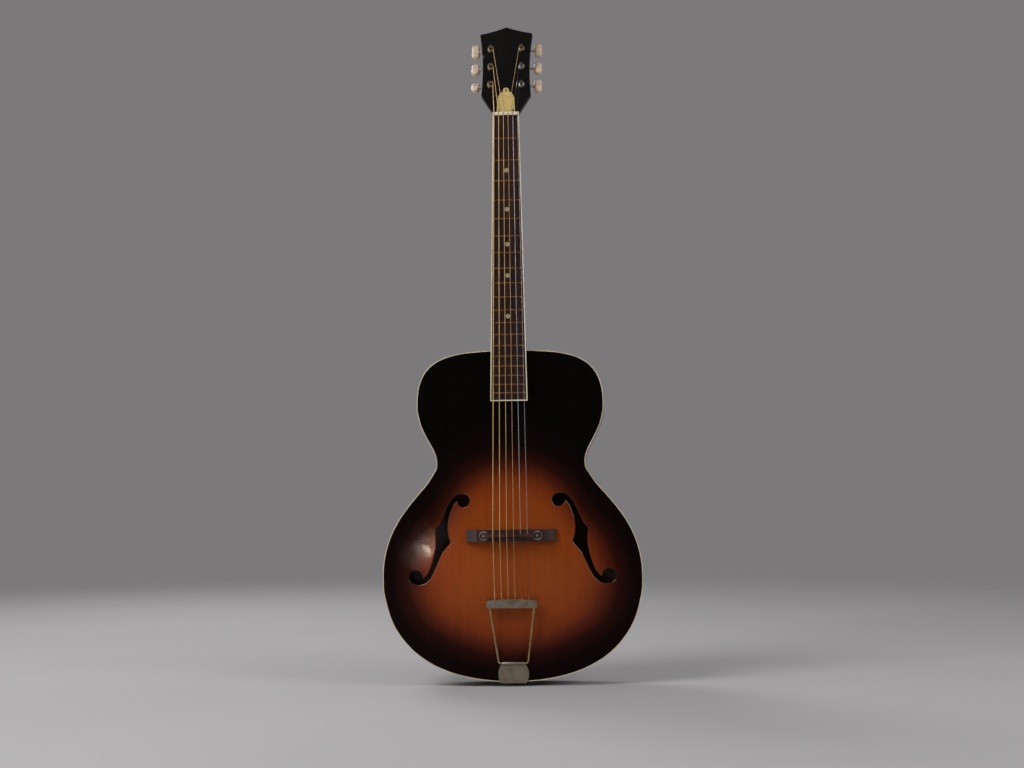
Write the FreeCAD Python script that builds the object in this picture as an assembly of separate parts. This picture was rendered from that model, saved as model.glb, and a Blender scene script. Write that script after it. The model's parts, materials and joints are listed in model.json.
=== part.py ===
import FreeCAD, Part
import math
import os

from FreeCAD import Placement, Rotation, Vector

# Archtop guitar, in millimetres. +Z runs up the centre line from the tail to the head, the strings
# face -Y and the treble side is +X. The origin is the lowest point of the rim, half way through its depth.

# Body outline, seen from the front
BODY_LENGTH = 508.7
LOWER_BOUT = 400.0
LOWER_BOUT_HEIGHT_SHARE = 0.477
WAIST = 229.8
WAIST_HEIGHT_SHARE = 0.662
UPPER_BOUT = 288.8
UPPER_BOUT_RISE_SHARE = 0.52
TAIL_CURVE_SHARES = (0.735, 0.523)
FLANK_CURVE_SHARES = (0.585, 0.227)
WAIST_CURVE_SHARES = (0.271, 0.505)
SHOULDER_CURVE_SHARES = (0.933, 0.628)
OUTLINE_SAMPLES = 9

# Rim, plates and binding
RIM_DEPTH = 86.0
PLATE_THICKNESS = 4.5
SIDE_THICKNESS = 2.6
BINDING_WIDTH = 1.3
BINDING_DEPTH = 6.0
TOP_ARCH = 16.0
BACK_ARCH = 15.0
ARCH_FULLNESS = 1.8
CREST_TAIL_SHARE = 0.42
CREST_NECK_SHARE = 0.58
ARCH_COLUMNS = 43
ARCH_ROWS = 53
ARCH_MARGIN = 10.0
GLUE_LINE = 0.2
OVERRUN = 80.0

# Blocks, linings and tone bars inside the body
NECK_BLOCK_WIDTH = 70.0
NECK_BLOCK_LENGTH = 45.0
END_BLOCK_WIDTH = 76.0
END_BLOCK_LENGTH = 24.0
LINING_WIDTH = 6.0
LINING_DEPTH = 14.0
TONE_BAR_WIDTH = 8.0
TONE_BAR_DEPTH = 13.0
TONE_BAR_LENGTH_SHARE = 0.57
TONE_BAR_CENTRE_SHARE = 0.5406
TONE_BAR_OFFSET = 34.0
TONE_BAR_SPLAY = 3.0
TONE_BAR_SCOOP = 60.0
TONE_BAR_TIP = 4.0

# F-holes: eyes as shares of the body, stems as shares of the step between the eyes
UPPER_EYE_OFFSET_SHARE = 0.1825
UPPER_EYE_HEIGHT_SHARE = 0.824
UPPER_EYE_DIAMETER = 20.0
LOWER_EYE_OFFSET_SHARE = 0.3715
LOWER_EYE_HEIGHT_SHARE = 0.478
LOWER_EYE_DIAMETER = 22.0
UPPER_EYE_LEAVE = 100.0
LOWER_EYE_LEAVE = -85.0
UPPER_EYE_END = 14.4064
UPPER_EYE_END_SHARE = 0.70249
LOWER_EYE_END = 197.8015
LOWER_EYE_END_SHARE = 0.8662
F_EDGE_RADIUS = 0.8
F_OUTER_UPPER_SHARES = ((0.167, -0.066), (0.293, 0.029), (0.382, 0.141), (0.454, 0.253), (0.512, 0.321))
F_OUTER_NICK_SHARES = (0.597, 0.364)
F_OUTER_LOWER_SHARES = ((0.573, 0.468), (0.576, 0.578), (0.613, 0.708), (0.676, 0.844), (0.764, 0.959))
F_INNER_LOWER_SHARES = ((0.876, 1.098), (0.736, 1.047), (0.632, 0.946),
                        (0.52, 0.791), (0.43, 0.674), (0.343, 0.607))
F_INNER_NICK_SHARES = (0.267, 0.544)
F_INNER_UPPER_SHARES = ((0.302, 0.483), (0.329, 0.377), (0.318, 0.266), (0.263, 0.14), (0.189, 0.041))

# Scale, fingerboard and frets
SCALE_LENGTH = 654.0
FRET_COUNT = 19
JOINT_FRET = 14
JOINT_FRET_RISE = 5.9
NECK_ANGLE = 3.5
BOARD_RISE = 17.0
NUT_WIDTH = 41.0
BOARD_END_WIDTH = 57.0
BOARD_THICKNESS = 6.0
BOARD_RADIUS = 305.0
BOARD_BINDING_WIDTH = 1.4
FRET_WIDTH = 2.4
FRET_HEIGHT = 1.0
FRET_EDGE = 0.25
TANG_WIDTH = 0.6
TANG_DEPTH = 1.8
DOT_DIAMETER = 7.0
DOT_DEPTH = 1.2
DOT_FRETS = (3, 5, 7, 9, 12)
NUT_THICKNESS = 5.0
NUT_CROWN = 2.4
NUT_SLOT_CLEARANCE = 0.12

# Neck shaft, heel, tongue and dovetail
NECK_DEPTH_AT_NUT = 14.5
NECK_DEPTH_AT_HEEL = 17.5
NECK_FLANK_SHARE = 0.62
NECK_BELLY_SHARE = 0.55
HEEL_RUN = 60.0
HEEL_STEPS = 8
HEEL_FLANK_SHARE = 0.8
HEEL_BELLY_SHARE = 0.5
TONGUE_WIDTH = 44.0
TONGUE_END_GAP = 6.0
TONGUE_LIFT = 0.5
TENON_NECK_WIDTH = 18.0
TENON_END_WIDTH = 27.0
TENON_LENGTH = 20.0
TENON_BACK_GAP = 14.0
MORTISE_CLEARANCE = 0.15

# Head and its face veneer
HEAD_ANGLE = 13.0
HEAD_STEP = 4.0
HEAD_THICKNESS = 14.0
VENEER_THICKNESS = 1.5
HEAD_LENGTH = 153.0
HEAD_SHOULDER_WIDTH = 78.0
HEAD_SHOULDER_RISE = 31.5
HEAD_WAIST_WIDTH = 74.0
HEAD_WAIST_RISE = 66.0
HEAD_TOP_WIDTH = 83.6
HEAD_CORNER_RISE = 141.0
HEAD_CROWN_DIP = 1.2
HEAD_CORNER_RADIUS = 3.0
HEAD_BACK_ROUND = 8.0

# Truss rod, its nut and its cover
ROD_DIAMETER = 4.5
ROD_DEPTH = 6.0
ROD_CLEARANCE = 0.2
ROD_TIP = 3.0
ROD_HEEL_GAP = 20.0
ROD_NUT_ACROSS = 7.0
ROD_NUT_LENGTH = 11.0
POCKET_GAP = 1.5
POCKET_WIDTH = 13.0
POCKET_LENGTH = 24.0
POCKET_FLOOR_CLEARANCE = 0.4
RUNNING_CLEARANCE = 0.06
COVER_THICKNESS = 1.6
COVER_GAP = 0.5
COVER_LENGTH = 43.5
COVER_WIDTH = 29.0
COVER_WAIST_WIDTH = 27.0
COVER_WAIST_RISE = 21.0
COVER_NECK_WIDTH = 9.0
COVER_TAB_WIDTH = 10.0
SCREW_HEAD_DIAMETER = 4.0
SCREW_HEAD_HEIGHT = 1.0
SCREW_SHANK_DIAMETER = 1.9
SCREW_LENGTH = 8.0
COVER_SCREW_INSET = 3.2

# Tuners: strip plates, posts, gears, worms and buttons
POST_SPREAD = 48.6
FIRST_POST_RISE = 49.0
POST_PITCH = 32.0
POSTS_PER_SIDE = 3
POST_DIAMETER = 6.0
POST_WAIST_DIAMETER = 5.2
POST_TOP = 10.0
POST_CAP = 1.8
POST_HOLE_DIAMETER = 1.7
GEAR_STEM_DIAMETER = 4.0
BUSHING_DIAMETER = 8.4
BUSHING_FLANGE_DIAMETER = 10.6
BUSHING_FLANGE = 1.0
BUSHING_LENGTH = 7.0
STRIP_WIDTH = 18.0
STRIP_THICKNESS = 1.2
STRIP_END = 12.5
STRIP_TOP_END = 18.5
STRIP_CORNER = 5.0
GEAR_TEETH = 14
GEAR_MODULE = 0.7
GEAR_THICKNESS = 4.0
ADDENDUM_SHARE = 0.72
DEDENDUM_SHARE = 1.08
TOOTH_SHARE = 0.31
TOOTH_TAPER_SHARE = 0.36
GEAR_SCREW_HEAD_DIAMETER = 4.8
GEAR_SCREW_HEAD_HEIGHT = 1.4
GEAR_SCREW_SHANK_DIAMETER = 2.0
GEAR_SCREW_DEPTH = 5.0
WORM_PITCH_DIAMETER = 4.4
WORM_TURNS = 3
WORM_CLEARANCE = 0.4
WORM_SIDE_PLAY = 0.25
SHAFT_DIAMETER = 3.2
EAR_THICKNESS = 1.3
EAR_WIDTH = 7.0
BUTTON_GAP = 4.9
BUTTON_LENGTH = 14.2
BUTTON_HEIGHT = 24.5
BUTTON_THICKNESS = 8.5
BUTTON_CORNER_RADIUS = 6.0
BUTTON_EDGE_RADIUS = 3.2
BUTTON_COLLAR_DIAMETER = 6.0
BUTTON_COLLAR_LENGTH = 1.6
BUTTON_TURNS = (36.0, 24.0, 4.0, -8.0, -20.0, -13.0)

# Bridge
BRIDGE_LENGTH = 137.0
BRIDGE_WIDTH = 18.0
BRIDGE_BASE_HEIGHT = 9.0
BRIDGE_WING_START = 52.0
BRIDGE_WING_HEIGHT = 5.5
BRIDGE_SEAT = 0.1
BRIDGE_POST_SPREAD = 81.6
BRIDGE_POST_DIAMETER = 4.2
BRIDGE_POST_DEPTH = 6.0
BRIDGE_POST_TIP = 1.2
WHEEL_DIAMETER = 15.0
WHEEL_THICKNESS = 3.0
WHEEL_LIFT = 2.4
WHEEL_NOTCHES = 24
WHEEL_NOTCH_DIAMETER = 1.0
SADDLE_SEAT = 0.06
SADDLE_END = 6.0
SADDLE_FOOT = 9.0
SADDLE_RIDGE = 2.6
SADDLE_END_HEIGHT = 4.2
SADDLE_STEP = 7.0
SADDLE_STRING_MARGIN = 5.5
SADDLE_SLOT_CLEARANCE = 0.12
SADDLE_POST_CLEARANCE = 0.3

# Tailpiece: bracket on the tail, wire frame and crossbar
HINGE_HEIGHT = 28.5
HINGE_LENGTH = 34.4
HINGE_WALL = 0.9
BRACKET_THICKNESS = 1.5
BRACKET_SEAT = 0.3
BRACKET_LOBE_WIDTH = 47.0
BRACKET_LOBE_HEIGHT = 13.4
BRACKET_FOOT_WIDTH = 39.0
BRACKET_TAB_REACH = 30.0
BRACKET_TAB_ROUND = 12.0
BRACKET_SEAT_AT_TAIL = 0.1
BRACKET_SCREW_SPREAD = 24.0
BRACKET_SCREW_PLACE = 16.0
TAIL_ANGLE = 11.5
WIRE_DIAMETER = 3.2
WIRE_BEND = 4.0
WIRE_FOOT_SPREAD = 44.5
WIRE_TOP_SPREAD = 69.4
WIRE_END_DEPTH = 6.0
CROSSBAR_WIDTH = 76.6
CROSSBAR_RISE_SHARE = 0.45054
CROSSBAR_HEIGHT = 12.0
CROSSBAR_DEPTH = 8.0
CROSSBAR_WALL = 1.2
CROSSBAR_HOOD_WIDTH = 62.0
CROSSBAR_HOOD_RISE = 2.0
CROSSBAR_SLOT_CLEARANCE = 0.2
TAIL_SCREW_HEAD_DIAMETER = 7.0
TAIL_SCREW_HEAD_HEIGHT = 1.8
TAIL_SCREW_SHANK_DIAMETER = 3.2
TAIL_SCREW_LENGTH = 22.0

# End pin
PIN_STEM_DIAMETER = 8.0
PIN_STEM_LENGTH = 22.0
PIN_COLLAR_DIAMETER = 14.0
PIN_COLLAR_LENGTH = 0.6
PIN_WAIST_DIAMETER = 8.6
PIN_WAIST_LENGTH = 2.2
PIN_HEAD_DIAMETER = 13.0
PIN_HEAD_LENGTH = 2.0
PIN_HEAD_ROUND = 0.5
PIN_FIT = 0.05

# Strings, from the lowest to the highest
STRING_DIAMETERS = (1.37, 1.07, 0.81, 0.61, 0.41, 0.30)
WOUND_STRINGS = 4
NUT_STRING_SPREAD = 36.5
SADDLE_STRING_SPREAD = 52.6
TAIL_STRING_SPREAD = 51.8
NUT_ACTION = 0.4
SADDLE_ACTION = 5.0
STRING_BEND = 8.0
BALL_DIAMETER = 4.0
WIND_QUARTERS = (10, 10, 12, 12, 14, 14)
WIND_GAP = 0.65
WIND_SEAT = 0.5
WIND_CLEARANCE = 0.15

SIDES = (("bass", -1), ("treble", 1))
X_AXIS = Vector(1, 0, 0)
Y_AXIS = Vector(0, 1, 0)
Z_AXIS = Vector(0, 0, 1)


def fret_distance(number):
    """Distance of a fret from the nut along the neck."""
    return SCALE_LENGTH * (1 - 2 ** (-number / 12))


# Places on the body that follow its length and width
WAIST_HEIGHT = WAIST_HEIGHT_SHARE * BODY_LENGTH
LOWER_BOUT_HEIGHT = LOWER_BOUT_HEIGHT_SHARE * WAIST_HEIGHT
UPPER_BOUT_HEIGHT = WAIST_HEIGHT + UPPER_BOUT_RISE_SHARE * (BODY_LENGTH - WAIST_HEIGHT)
UPPER_EYE_OFFSET = UPPER_EYE_OFFSET_SHARE * LOWER_BOUT
LOWER_EYE_OFFSET = LOWER_EYE_OFFSET_SHARE * LOWER_BOUT
UPPER_EYE_HEIGHT = UPPER_EYE_HEIGHT_SHARE * WAIST_HEIGHT
LOWER_EYE_HEIGHT = LOWER_EYE_HEIGHT_SHARE * WAIST_HEIGHT
TONE_BAR_LENGTH = TONE_BAR_LENGTH_SHARE * BODY_LENGTH
TONE_BAR_CENTRE = TONE_BAR_CENTRE_SHARE * BODY_LENGTH

# Places of the neck and the head
FRONT = -RIM_DEPTH / 2
BACK = RIM_DEPTH / 2
BOARD_LENGTH = fret_distance(FRET_COUNT + 1)
JOINT_DISTANCE = fret_distance(JOINT_FRET)
NECK_SIN = math.sin(math.radians(NECK_ANGLE))
NECK_COS = math.cos(math.radians(NECK_ANGLE))
NUT_HEIGHT = BODY_LENGTH + JOINT_FRET_RISE + JOINT_DISTANCE * NECK_COS
NUT_FACE = FRONT - BOARD_RISE + JOINT_DISTANCE * NECK_SIN
NECK = Placement(Vector(0, NUT_FACE, NUT_HEIGHT), Rotation(X_AXIS, -NECK_ANGLE))
HEAD = NECK.multiply(Placement(Vector(0, HEAD_STEP, NUT_THICKNESS), Rotation(X_AXIS, -HEAD_ANGLE)))
HEAD_BACK = VENEER_THICKNESS + HEAD_THICKNESS
BRIDGE_HEIGHT = NUT_HEIGHT - SCALE_LENGTH * NECK_COS
CROSSBAR_RISE = CROSSBAR_RISE_SHARE * (BRIDGE_HEIGHT - HINGE_HEIGHT)

# Worm gear sizes that follow from the module
GEAR_PITCH_RADIUS = GEAR_MODULE * GEAR_TEETH / 2
ADDENDUM = ADDENDUM_SHARE * GEAR_MODULE
DEDENDUM = DEDENDUM_SHARE * GEAR_MODULE
TOOTH_PITCH = math.pi * GEAR_MODULE
WORM_CREST = WORM_PITCH_DIAMETER / 2 + ADDENDUM
WORM_ROOT = WORM_PITCH_DIAMETER / 2 - DEDENDUM
WORM_OFFSET = GEAR_PITCH_RADIUS + WORM_PITCH_DIAMETER / 2
WORM_DEPTH = HEAD_BACK + STRIP_THICKNESS + WORM_CLEARANCE + WORM_CREST
THREAD_FOOT = TOOTH_SHARE * TOOTH_PITCH + 2 * DEDENDUM * TOOTH_TAPER_SHARE
WORM_LENGTH = WORM_TURNS * TOOTH_PITCH + THREAD_FOOT
EAR_OFFSET = WORM_LENGTH / 2 + WORM_SIDE_PLAY
POST_RISES = [FIRST_POST_RISE + n * POST_PITCH for n in range(POSTS_PER_SIDE)]


def put(shape, place):
    """Move a shape from its own frame to the frame of the guitar."""
    moved = shape.copy()
    moved.Placement = place.multiply(moved.Placement)
    return moved


def box(x0, x1, y0, y1, z0, z1):
    return Part.makeBox(x1 - x0, y1 - y0, z1 - z0, Vector(x0, y0, z0))


def rod(start, end, diameter):
    return Part.makeCylinder(diameter / 2, (end - start).Length, start, end - start)


def prism(wire, front, back):
    """Solid of a closed front-view outline between two depths."""
    face = Part.Face(wire)
    face.translate(Vector(0, front, 0))
    return face.extrude(Vector(0, back - front, 0))


def polygon(points):
    return Part.makePolygon(points + points[:1])


def front_polygon(points):
    return polygon([Vector(x, 0, z) for x, z in points])


def spline(points, start=None, end=None):
    curve = Part.BSplineCurve()
    if start:
        curve.interpolate(Points=points, InitialTangent=start, FinalTangent=end)
    else:
        curve.interpolate(points)
    return curve.toShape()


def closed(edges):
    return Part.Wire(Part.__sortEdges__(edges))


def fused(shapes):
    return shapes[0].multiFuse(shapes[1:]).removeSplitter()


def group(shapes):
    return Part.makeCompound([solid for shape in shapes for solid in shape.Solids])


def spread(total, count, number):
    """Place of one of several evenly spaced things across a spread."""
    return total * (number / (count - 1) - 0.5)


def half_outline():
    """Poles of the four curves of the treble half, from the tail up to the neck."""
    lower = LOWER_BOUT / 2
    waist = WAIST / 2
    upper = UPPER_BOUT / 2
    flank = WAIST_HEIGHT - LOWER_BOUT_HEIGHT
    rise = UPPER_BOUT_HEIGHT - WAIST_HEIGHT
    top = BODY_LENGTH - UPPER_BOUT_HEIGHT
    tail_in, tail_out = TAIL_CURVE_SHARES
    flank_in, flank_out = FLANK_CURVE_SHARES
    waist_in, waist_out = WAIST_CURVE_SHARES
    shoulder_in, shoulder_out = SHOULDER_CURVE_SHARES
    tail = ((0, 0), (tail_in * lower, 0),
            (lower, (1 - tail_out) * LOWER_BOUT_HEIGHT), (lower, LOWER_BOUT_HEIGHT))
    side = ((lower, LOWER_BOUT_HEIGHT), (lower, LOWER_BOUT_HEIGHT + flank_in * flank),
            (waist, WAIST_HEIGHT - flank_out * flank), (waist, WAIST_HEIGHT))
    chest = ((waist, WAIST_HEIGHT), (waist, WAIST_HEIGHT + waist_in * rise),
             (upper, UPPER_BOUT_HEIGHT - waist_out * rise), (upper, UPPER_BOUT_HEIGHT))
    shoulder = ((upper, UPPER_BOUT_HEIGHT), (upper, UPPER_BOUT_HEIGHT + shoulder_in * top),
                (shoulder_out * upper, BODY_LENGTH), (0, BODY_LENGTH))
    return [[Vector(x, 0, z) for x, z in curve] for curve in (tail, side, chest, shoulder)]


def bezier(poles):
    curve = Part.BezierCurve()
    curve.setPoles(poles)
    return curve


def mirrored(vector):
    return Vector(-vector.x, vector.y, vector.z)


def outline(inset=0):
    """Closed body outline, drawn in from the outer edge by an inset."""
    edges = []
    for poles in half_outline():
        curve = bezier(poles)
        points = []
        tangents = []
        for sample in range(OUTLINE_SAMPLES):
            share = sample / (OUTLINE_SAMPLES - 1)
            tangent = curve.tangent(share)[0]
            points.append(curve.value(share) + Vector(-tangent.z, 0, tangent.x) * inset)
            tangents.append(tangent)
        edges.append(spline(points, tangents[0], tangents[-1]))
        edges.append(spline([mirrored(p) for p in points], mirrored(tangents[0]), mirrored(tangents[-1])))
    return closed(edges)


def half_width(height):
    """Half the width of the body at a height."""
    for poles in half_outline():
        if poles[0].z < height < poles[-1].z:
            curve = bezier(poles)
            low, high = 0, 1
            for _ in range(40):
                middle = (low + high) / 2
                if curve.value(middle).z < height:
                    low = middle
                else:
                    high = middle
            return curve.value(low).x
        if height == poles[-1].z:
            return poles[-1].x
    return 0


def smooth(share):
    share = min(max(share, 0), 1)
    return share * share * (3 - 2 * share)


def arch(x, width, height, crest):
    """Rise of a carved plate over the rim at a point, flat along the edge of the body."""
    if abs(x) >= width:
        return 0
    across = (1 - (x / width) ** 2) ** ARCH_FULLNESS
    tail = smooth(height / (CREST_TAIL_SHARE * BODY_LENGTH))
    neck = smooth((BODY_LENGTH - height) / ((1 - CREST_NECK_SHARE) * BODY_LENGTH))
    return crest * across * tail * neck


def arch_at(x, height, crest):
    return arch(x, half_width(height), height, crest)


def arched_slab(level, crest, side, depth):
    """Slab under an arched face that starts at a level and is as thick as the depth, along Y."""
    reach = LOWER_BOUT / 2 + ARCH_MARGIN
    height_step = (BODY_LENGTH + 2 * ARCH_MARGIN) / (ARCH_ROWS - 1)
    heights = [-ARCH_MARGIN + height_step * row for row in range(ARCH_ROWS)]
    widths = [half_width(height) for height in heights]
    rows = []
    for column in range(ARCH_COLUMNS):
        x = 2 * reach * (column / (ARCH_COLUMNS - 1) - 0.5)
        rows.append([Vector(x, level + side * arch(x, width, height, crest), height)
                     for width, height in zip(widths, heights)])
    surface = Part.BSplineSurface()
    surface.interpolate(rows)
    return surface.toShape().extrude(Vector(0, depth, 0))


def mortise_prism(clearance):
    """Dovetail plug between the neck and the body, with a clearance all round."""
    root = TENON_NECK_WIDTH / 2 + clearance
    end = TENON_END_WIDTH / 2 + clearance
    bottom = BODY_LENGTH - TENON_LENGTH - clearance
    top = BODY_LENGTH + JOINT_FRET_RISE
    wire = front_polygon([(-root, top), (-root, BODY_LENGTH), (-end, bottom),
                          (end, bottom), (root, BODY_LENGTH), (root, top)])
    return prism(wire, FRONT - BOARD_RISE / 2, BACK - TENON_BACK_GAP + clearance)


def f_hole(side):
    """Solid that cuts one f-hole: two round eyes joined by a nicked stem."""
    upper = Vector(UPPER_EYE_OFFSET, 0, UPPER_EYE_HEIGHT)
    lower = Vector(LOWER_EYE_OFFSET, 0, LOWER_EYE_HEIGHT)

    def place(share):
        x = UPPER_EYE_OFFSET + share[0] * (LOWER_EYE_OFFSET - UPPER_EYE_OFFSET)
        z = UPPER_EYE_HEIGHT + share[1] * (LOWER_EYE_HEIGHT - UPPER_EYE_HEIGHT)
        return Vector(x, 0, z)

    def in_eye(centre, diameter, angle, share=1):
        turn = math.radians(angle)
        return centre + Vector(math.cos(turn), 0, math.sin(turn)) * (share * diameter / 2)

    top = in_eye(upper, UPPER_EYE_DIAMETER, UPPER_EYE_LEAVE)
    bottom = in_eye(lower, LOWER_EYE_DIAMETER, LOWER_EYE_LEAVE)
    outer_nick = place(F_OUTER_NICK_SHARES)
    inner_nick = place(F_INNER_NICK_SHARES)
    outer_end = in_eye(lower, LOWER_EYE_DIAMETER, LOWER_EYE_END, LOWER_EYE_END_SHARE)
    inner_end = in_eye(upper, UPPER_EYE_DIAMETER, UPPER_EYE_END, UPPER_EYE_END_SHARE)
    edges = [
        spline([top] + [place(s) for s in F_OUTER_UPPER_SHARES] + [outer_nick]),
        spline([outer_nick] + [place(s) for s in F_OUTER_LOWER_SHARES] + [outer_end]),
        Part.makeLine(outer_end, bottom),
        spline([bottom] + [place(s) for s in F_INNER_LOWER_SHARES] + [inner_nick]),
        spline([inner_nick] + [place(s) for s in F_INNER_UPPER_SHARES] + [inner_end]),
        Part.makeLine(inner_end, top),
    ]
    front = FRONT - TOP_ARCH - OVERRUN
    stem = prism(Part.Wire(edges), front, 0)
    across = Vector(0, front, 0)
    eyes = [rod(upper + across, upper, UPPER_EYE_DIAMETER), rod(lower + across, lower, LOWER_EYE_DIAMETER)]
    hole = fused([stem] + eyes)
    return hole if side > 0 else hole.mirror(Vector(0, 0, 0), X_AXIS)


def hole_rims(plate, holes):
    """Edges of the f-holes in the front half of the top plate."""
    rims = []
    for edge in plate.Edges:
        spot = edge.valueAt((edge.FirstParameter + edge.LastParameter) / 2)
        face_depth = spot.y - FRONT + arch_at(spot.x, spot.z, TOP_ARCH)
        for hole in holes:
            room = hole.BoundBox
            room.enlarge(GLUE_LINE)
            if abs(face_depth) < PLATE_THICKNESS / 2 and room.isInside(spot):
                rims.append(edge)
    return rims


def make_body():
    """Plates, sides, binding, blocks, linings and tone bars of the sound box."""
    rim = outline()
    plate_wire = outline(BINDING_WIDTH)
    inner_wire = outline(SIDE_THICKNESS)
    mortise = mortise_prism(MORTISE_CLEARANCE)
    reach = TOP_ARCH + BACK_ARCH + OVERRUN
    plate_prism = prism(plate_wire, FRONT - reach, BACK + reach)

    top = arched_slab(FRONT, TOP_ARCH, -1, PLATE_THICKNESS).common(plate_prism)
    holes = [f_hole(side) for _, side in SIDES]
    top = top.cut(holes + [mortise])
    top = top.makeFillet(min(F_EDGE_RADIUS, PLATE_THICKNESS / 4), hole_rims(top, holes))
    back = arched_slab(BACK - PLATE_THICKNESS, BACK_ARCH, 1, PLATE_THICKNESS).common(plate_prism)

    trim = prism(rim, FRONT, FRONT + BINDING_DEPTH).cut(plate_prism)
    top_binding = trim.cut(mortise)
    back_binding = prism(rim, BACK - BINDING_DEPTH, BACK).cut(plate_prism)

    wall_front = FRONT + PLATE_THICKNESS + GLUE_LINE
    wall_back = BACK - PLATE_THICKNESS - GLUE_LINE
    inside = prism(inner_wire, FRONT - reach, BACK + reach)
    wall = prism(rim, wall_front, wall_back).cut([inside, top_binding, back_binding, mortise])
    pin_hole = rod(Vector(0, 0, -OVERRUN), Vector(0, 0, OVERRUN), PIN_STEM_DIAMETER)
    wall = wall.cut([pin_hole] + tail_screws())
    halves = {}
    for name, side in SIDES:
        near, far = sorted((0, side * LOWER_BOUT))
        halves[name] = wall.common(box(near, far, -reach, reach, -OVERRUN, BODY_LENGTH + OVERRUN))

    hollow_depth = RIM_DEPTH / 2 - PLATE_THICKNESS - GLUE_LINE
    front_hollow = arched_slab(-hollow_depth, TOP_ARCH, -1, hollow_depth + TOP_ARCH)
    block_room = prism(outline(SIDE_THICKNESS + GLUE_LINE), FRONT - reach, BACK + reach)
    neck_box = box(-NECK_BLOCK_WIDTH / 2, NECK_BLOCK_WIDTH / 2, -reach, reach,
                   BODY_LENGTH - SIDE_THICKNESS - NECK_BLOCK_LENGTH, BODY_LENGTH)
    end_box = box(-END_BLOCK_WIDTH / 2, END_BLOCK_WIDTH / 2, -reach, reach,
                  0, SIDE_THICKNESS + END_BLOCK_LENGTH)
    blocks = []
    for room in (neck_box, end_box):
        room = room.common(block_room)
        band = box(-LOWER_BOUT, LOWER_BOUT, -hollow_depth, hollow_depth, -OVERRUN, BODY_LENGTH + OVERRUN)
        blocks.append(room.common(band))
    neck_block = blocks[0].cut(mortise)
    end_block = blocks[1].cut([pin_hole] + tail_screws())

    lining_wire = outline(SIDE_THICKNESS + GLUE_LINE + LINING_WIDTH)
    ring = block_room.cut(prism(lining_wire, FRONT - reach, BACK + reach))
    clear = GLUE_LINE
    gaps = [box(-NECK_BLOCK_WIDTH / 2 - clear, NECK_BLOCK_WIDTH / 2 + clear, -reach, reach,
                WAIST_HEIGHT, BODY_LENGTH + OVERRUN),
            box(-END_BLOCK_WIDTH / 2 - clear, END_BLOCK_WIDTH / 2 + clear, -reach, reach,
                -OVERRUN, LOWER_BOUT_HEIGHT)]
    front_band = box(-LOWER_BOUT, LOWER_BOUT, -hollow_depth, -hollow_depth + LINING_DEPTH, 0, BODY_LENGTH)
    back_band = box(-LOWER_BOUT, LOWER_BOUT, hollow_depth - LINING_DEPTH, hollow_depth, 0, BODY_LENGTH)
    linings = [ring.common(band).cut(gaps) for band in (front_band, back_band)]

    bars = []
    for _, side in SIDES:
        half = TONE_BAR_LENGTH / 2
        low = FRONT - TOP_ARCH - OVERRUN
        keel = -hollow_depth - TOP_ARCH + TONE_BAR_DEPTH
        tip = arch_at(TONE_BAR_OFFSET, TONE_BAR_CENTRE + half, TOP_ARCH)
        toe = arch_at(TONE_BAR_OFFSET, TONE_BAR_CENTRE - half, TOP_ARCH)
        profile = polygon([Vector(0, low, -half), Vector(0, low, half),
                           Vector(0, -hollow_depth - tip + TONE_BAR_TIP, half),
                           Vector(0, keel, half - TONE_BAR_SCOOP), Vector(0, keel, -half + TONE_BAR_SCOOP),
                           Vector(0, -hollow_depth - toe + TONE_BAR_TIP, -half)])
        bar = Part.Face(profile).extrude(Vector(TONE_BAR_WIDTH, 0, 0))
        bar.translate(Vector(-TONE_BAR_WIDTH / 2, 0, 0))
        place = Placement(Vector(side * TONE_BAR_OFFSET, 0, TONE_BAR_CENTRE),
                          Rotation(Y_AXIS, -side * TONE_BAR_SPLAY))
        bars.append(put(bar, place).common(front_hollow))
    return {
        "top_plate": top,
        "back_plate": back,
        "side_bass": halves["bass"],
        "side_treble": halves["treble"],
        "top_binding": top_binding,
        "back_binding": back_binding,
        "neck_block": neck_block,
        "end_block": end_block,
        "linings": group(linings),
        "tone_bars": group(bars),
    }


def board_half_width(z):
    """Half width of the fingerboard at a place along the neck, zero at the nut and negative below it."""
    return NUT_WIDTH / 2 + (BOARD_END_WIDTH - NUT_WIDTH) / 2 * (-z / BOARD_LENGTH)


def crown(x):
    """Drop of the rounded fingerboard face at a distance from its centre line."""
    return BOARD_RADIUS - math.sqrt(BOARD_RADIUS ** 2 - x ** 2)


def board_round():
    """Cylinder whose front is the rounded face of the fingerboard."""
    start = Vector(0, BOARD_RADIUS, -BOARD_LENGTH - OVERRUN)
    return rod(start, Vector(0, BOARD_RADIUS, OVERRUN), 2 * BOARD_RADIUS)


def board_plan(inset):
    """Tapered prism of the fingerboard, drawn in from its sides and its end."""
    end = -BOARD_LENGTH + inset
    wide = board_half_width(end) - inset
    narrow = board_half_width(0) - inset
    return prism(front_polygon([(-narrow, 0), (narrow, 0), (wide, end), (-wide, end)]), 0, BOARD_THICKNESS)


def along_board(profile, z, half):
    """Solid of a profile swept across the rounded board at a place along the neck."""
    turn = math.degrees(math.asin(half / BOARD_RADIUS))
    face = Part.Face(profile)
    face.translate(Vector(0, 0, z))
    centre = Vector(0, BOARD_RADIUS, 0)
    face.rotate(centre, Z_AXIS, -turn)
    return face.revolve(centre, Z_AXIS, 2 * turn)


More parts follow.
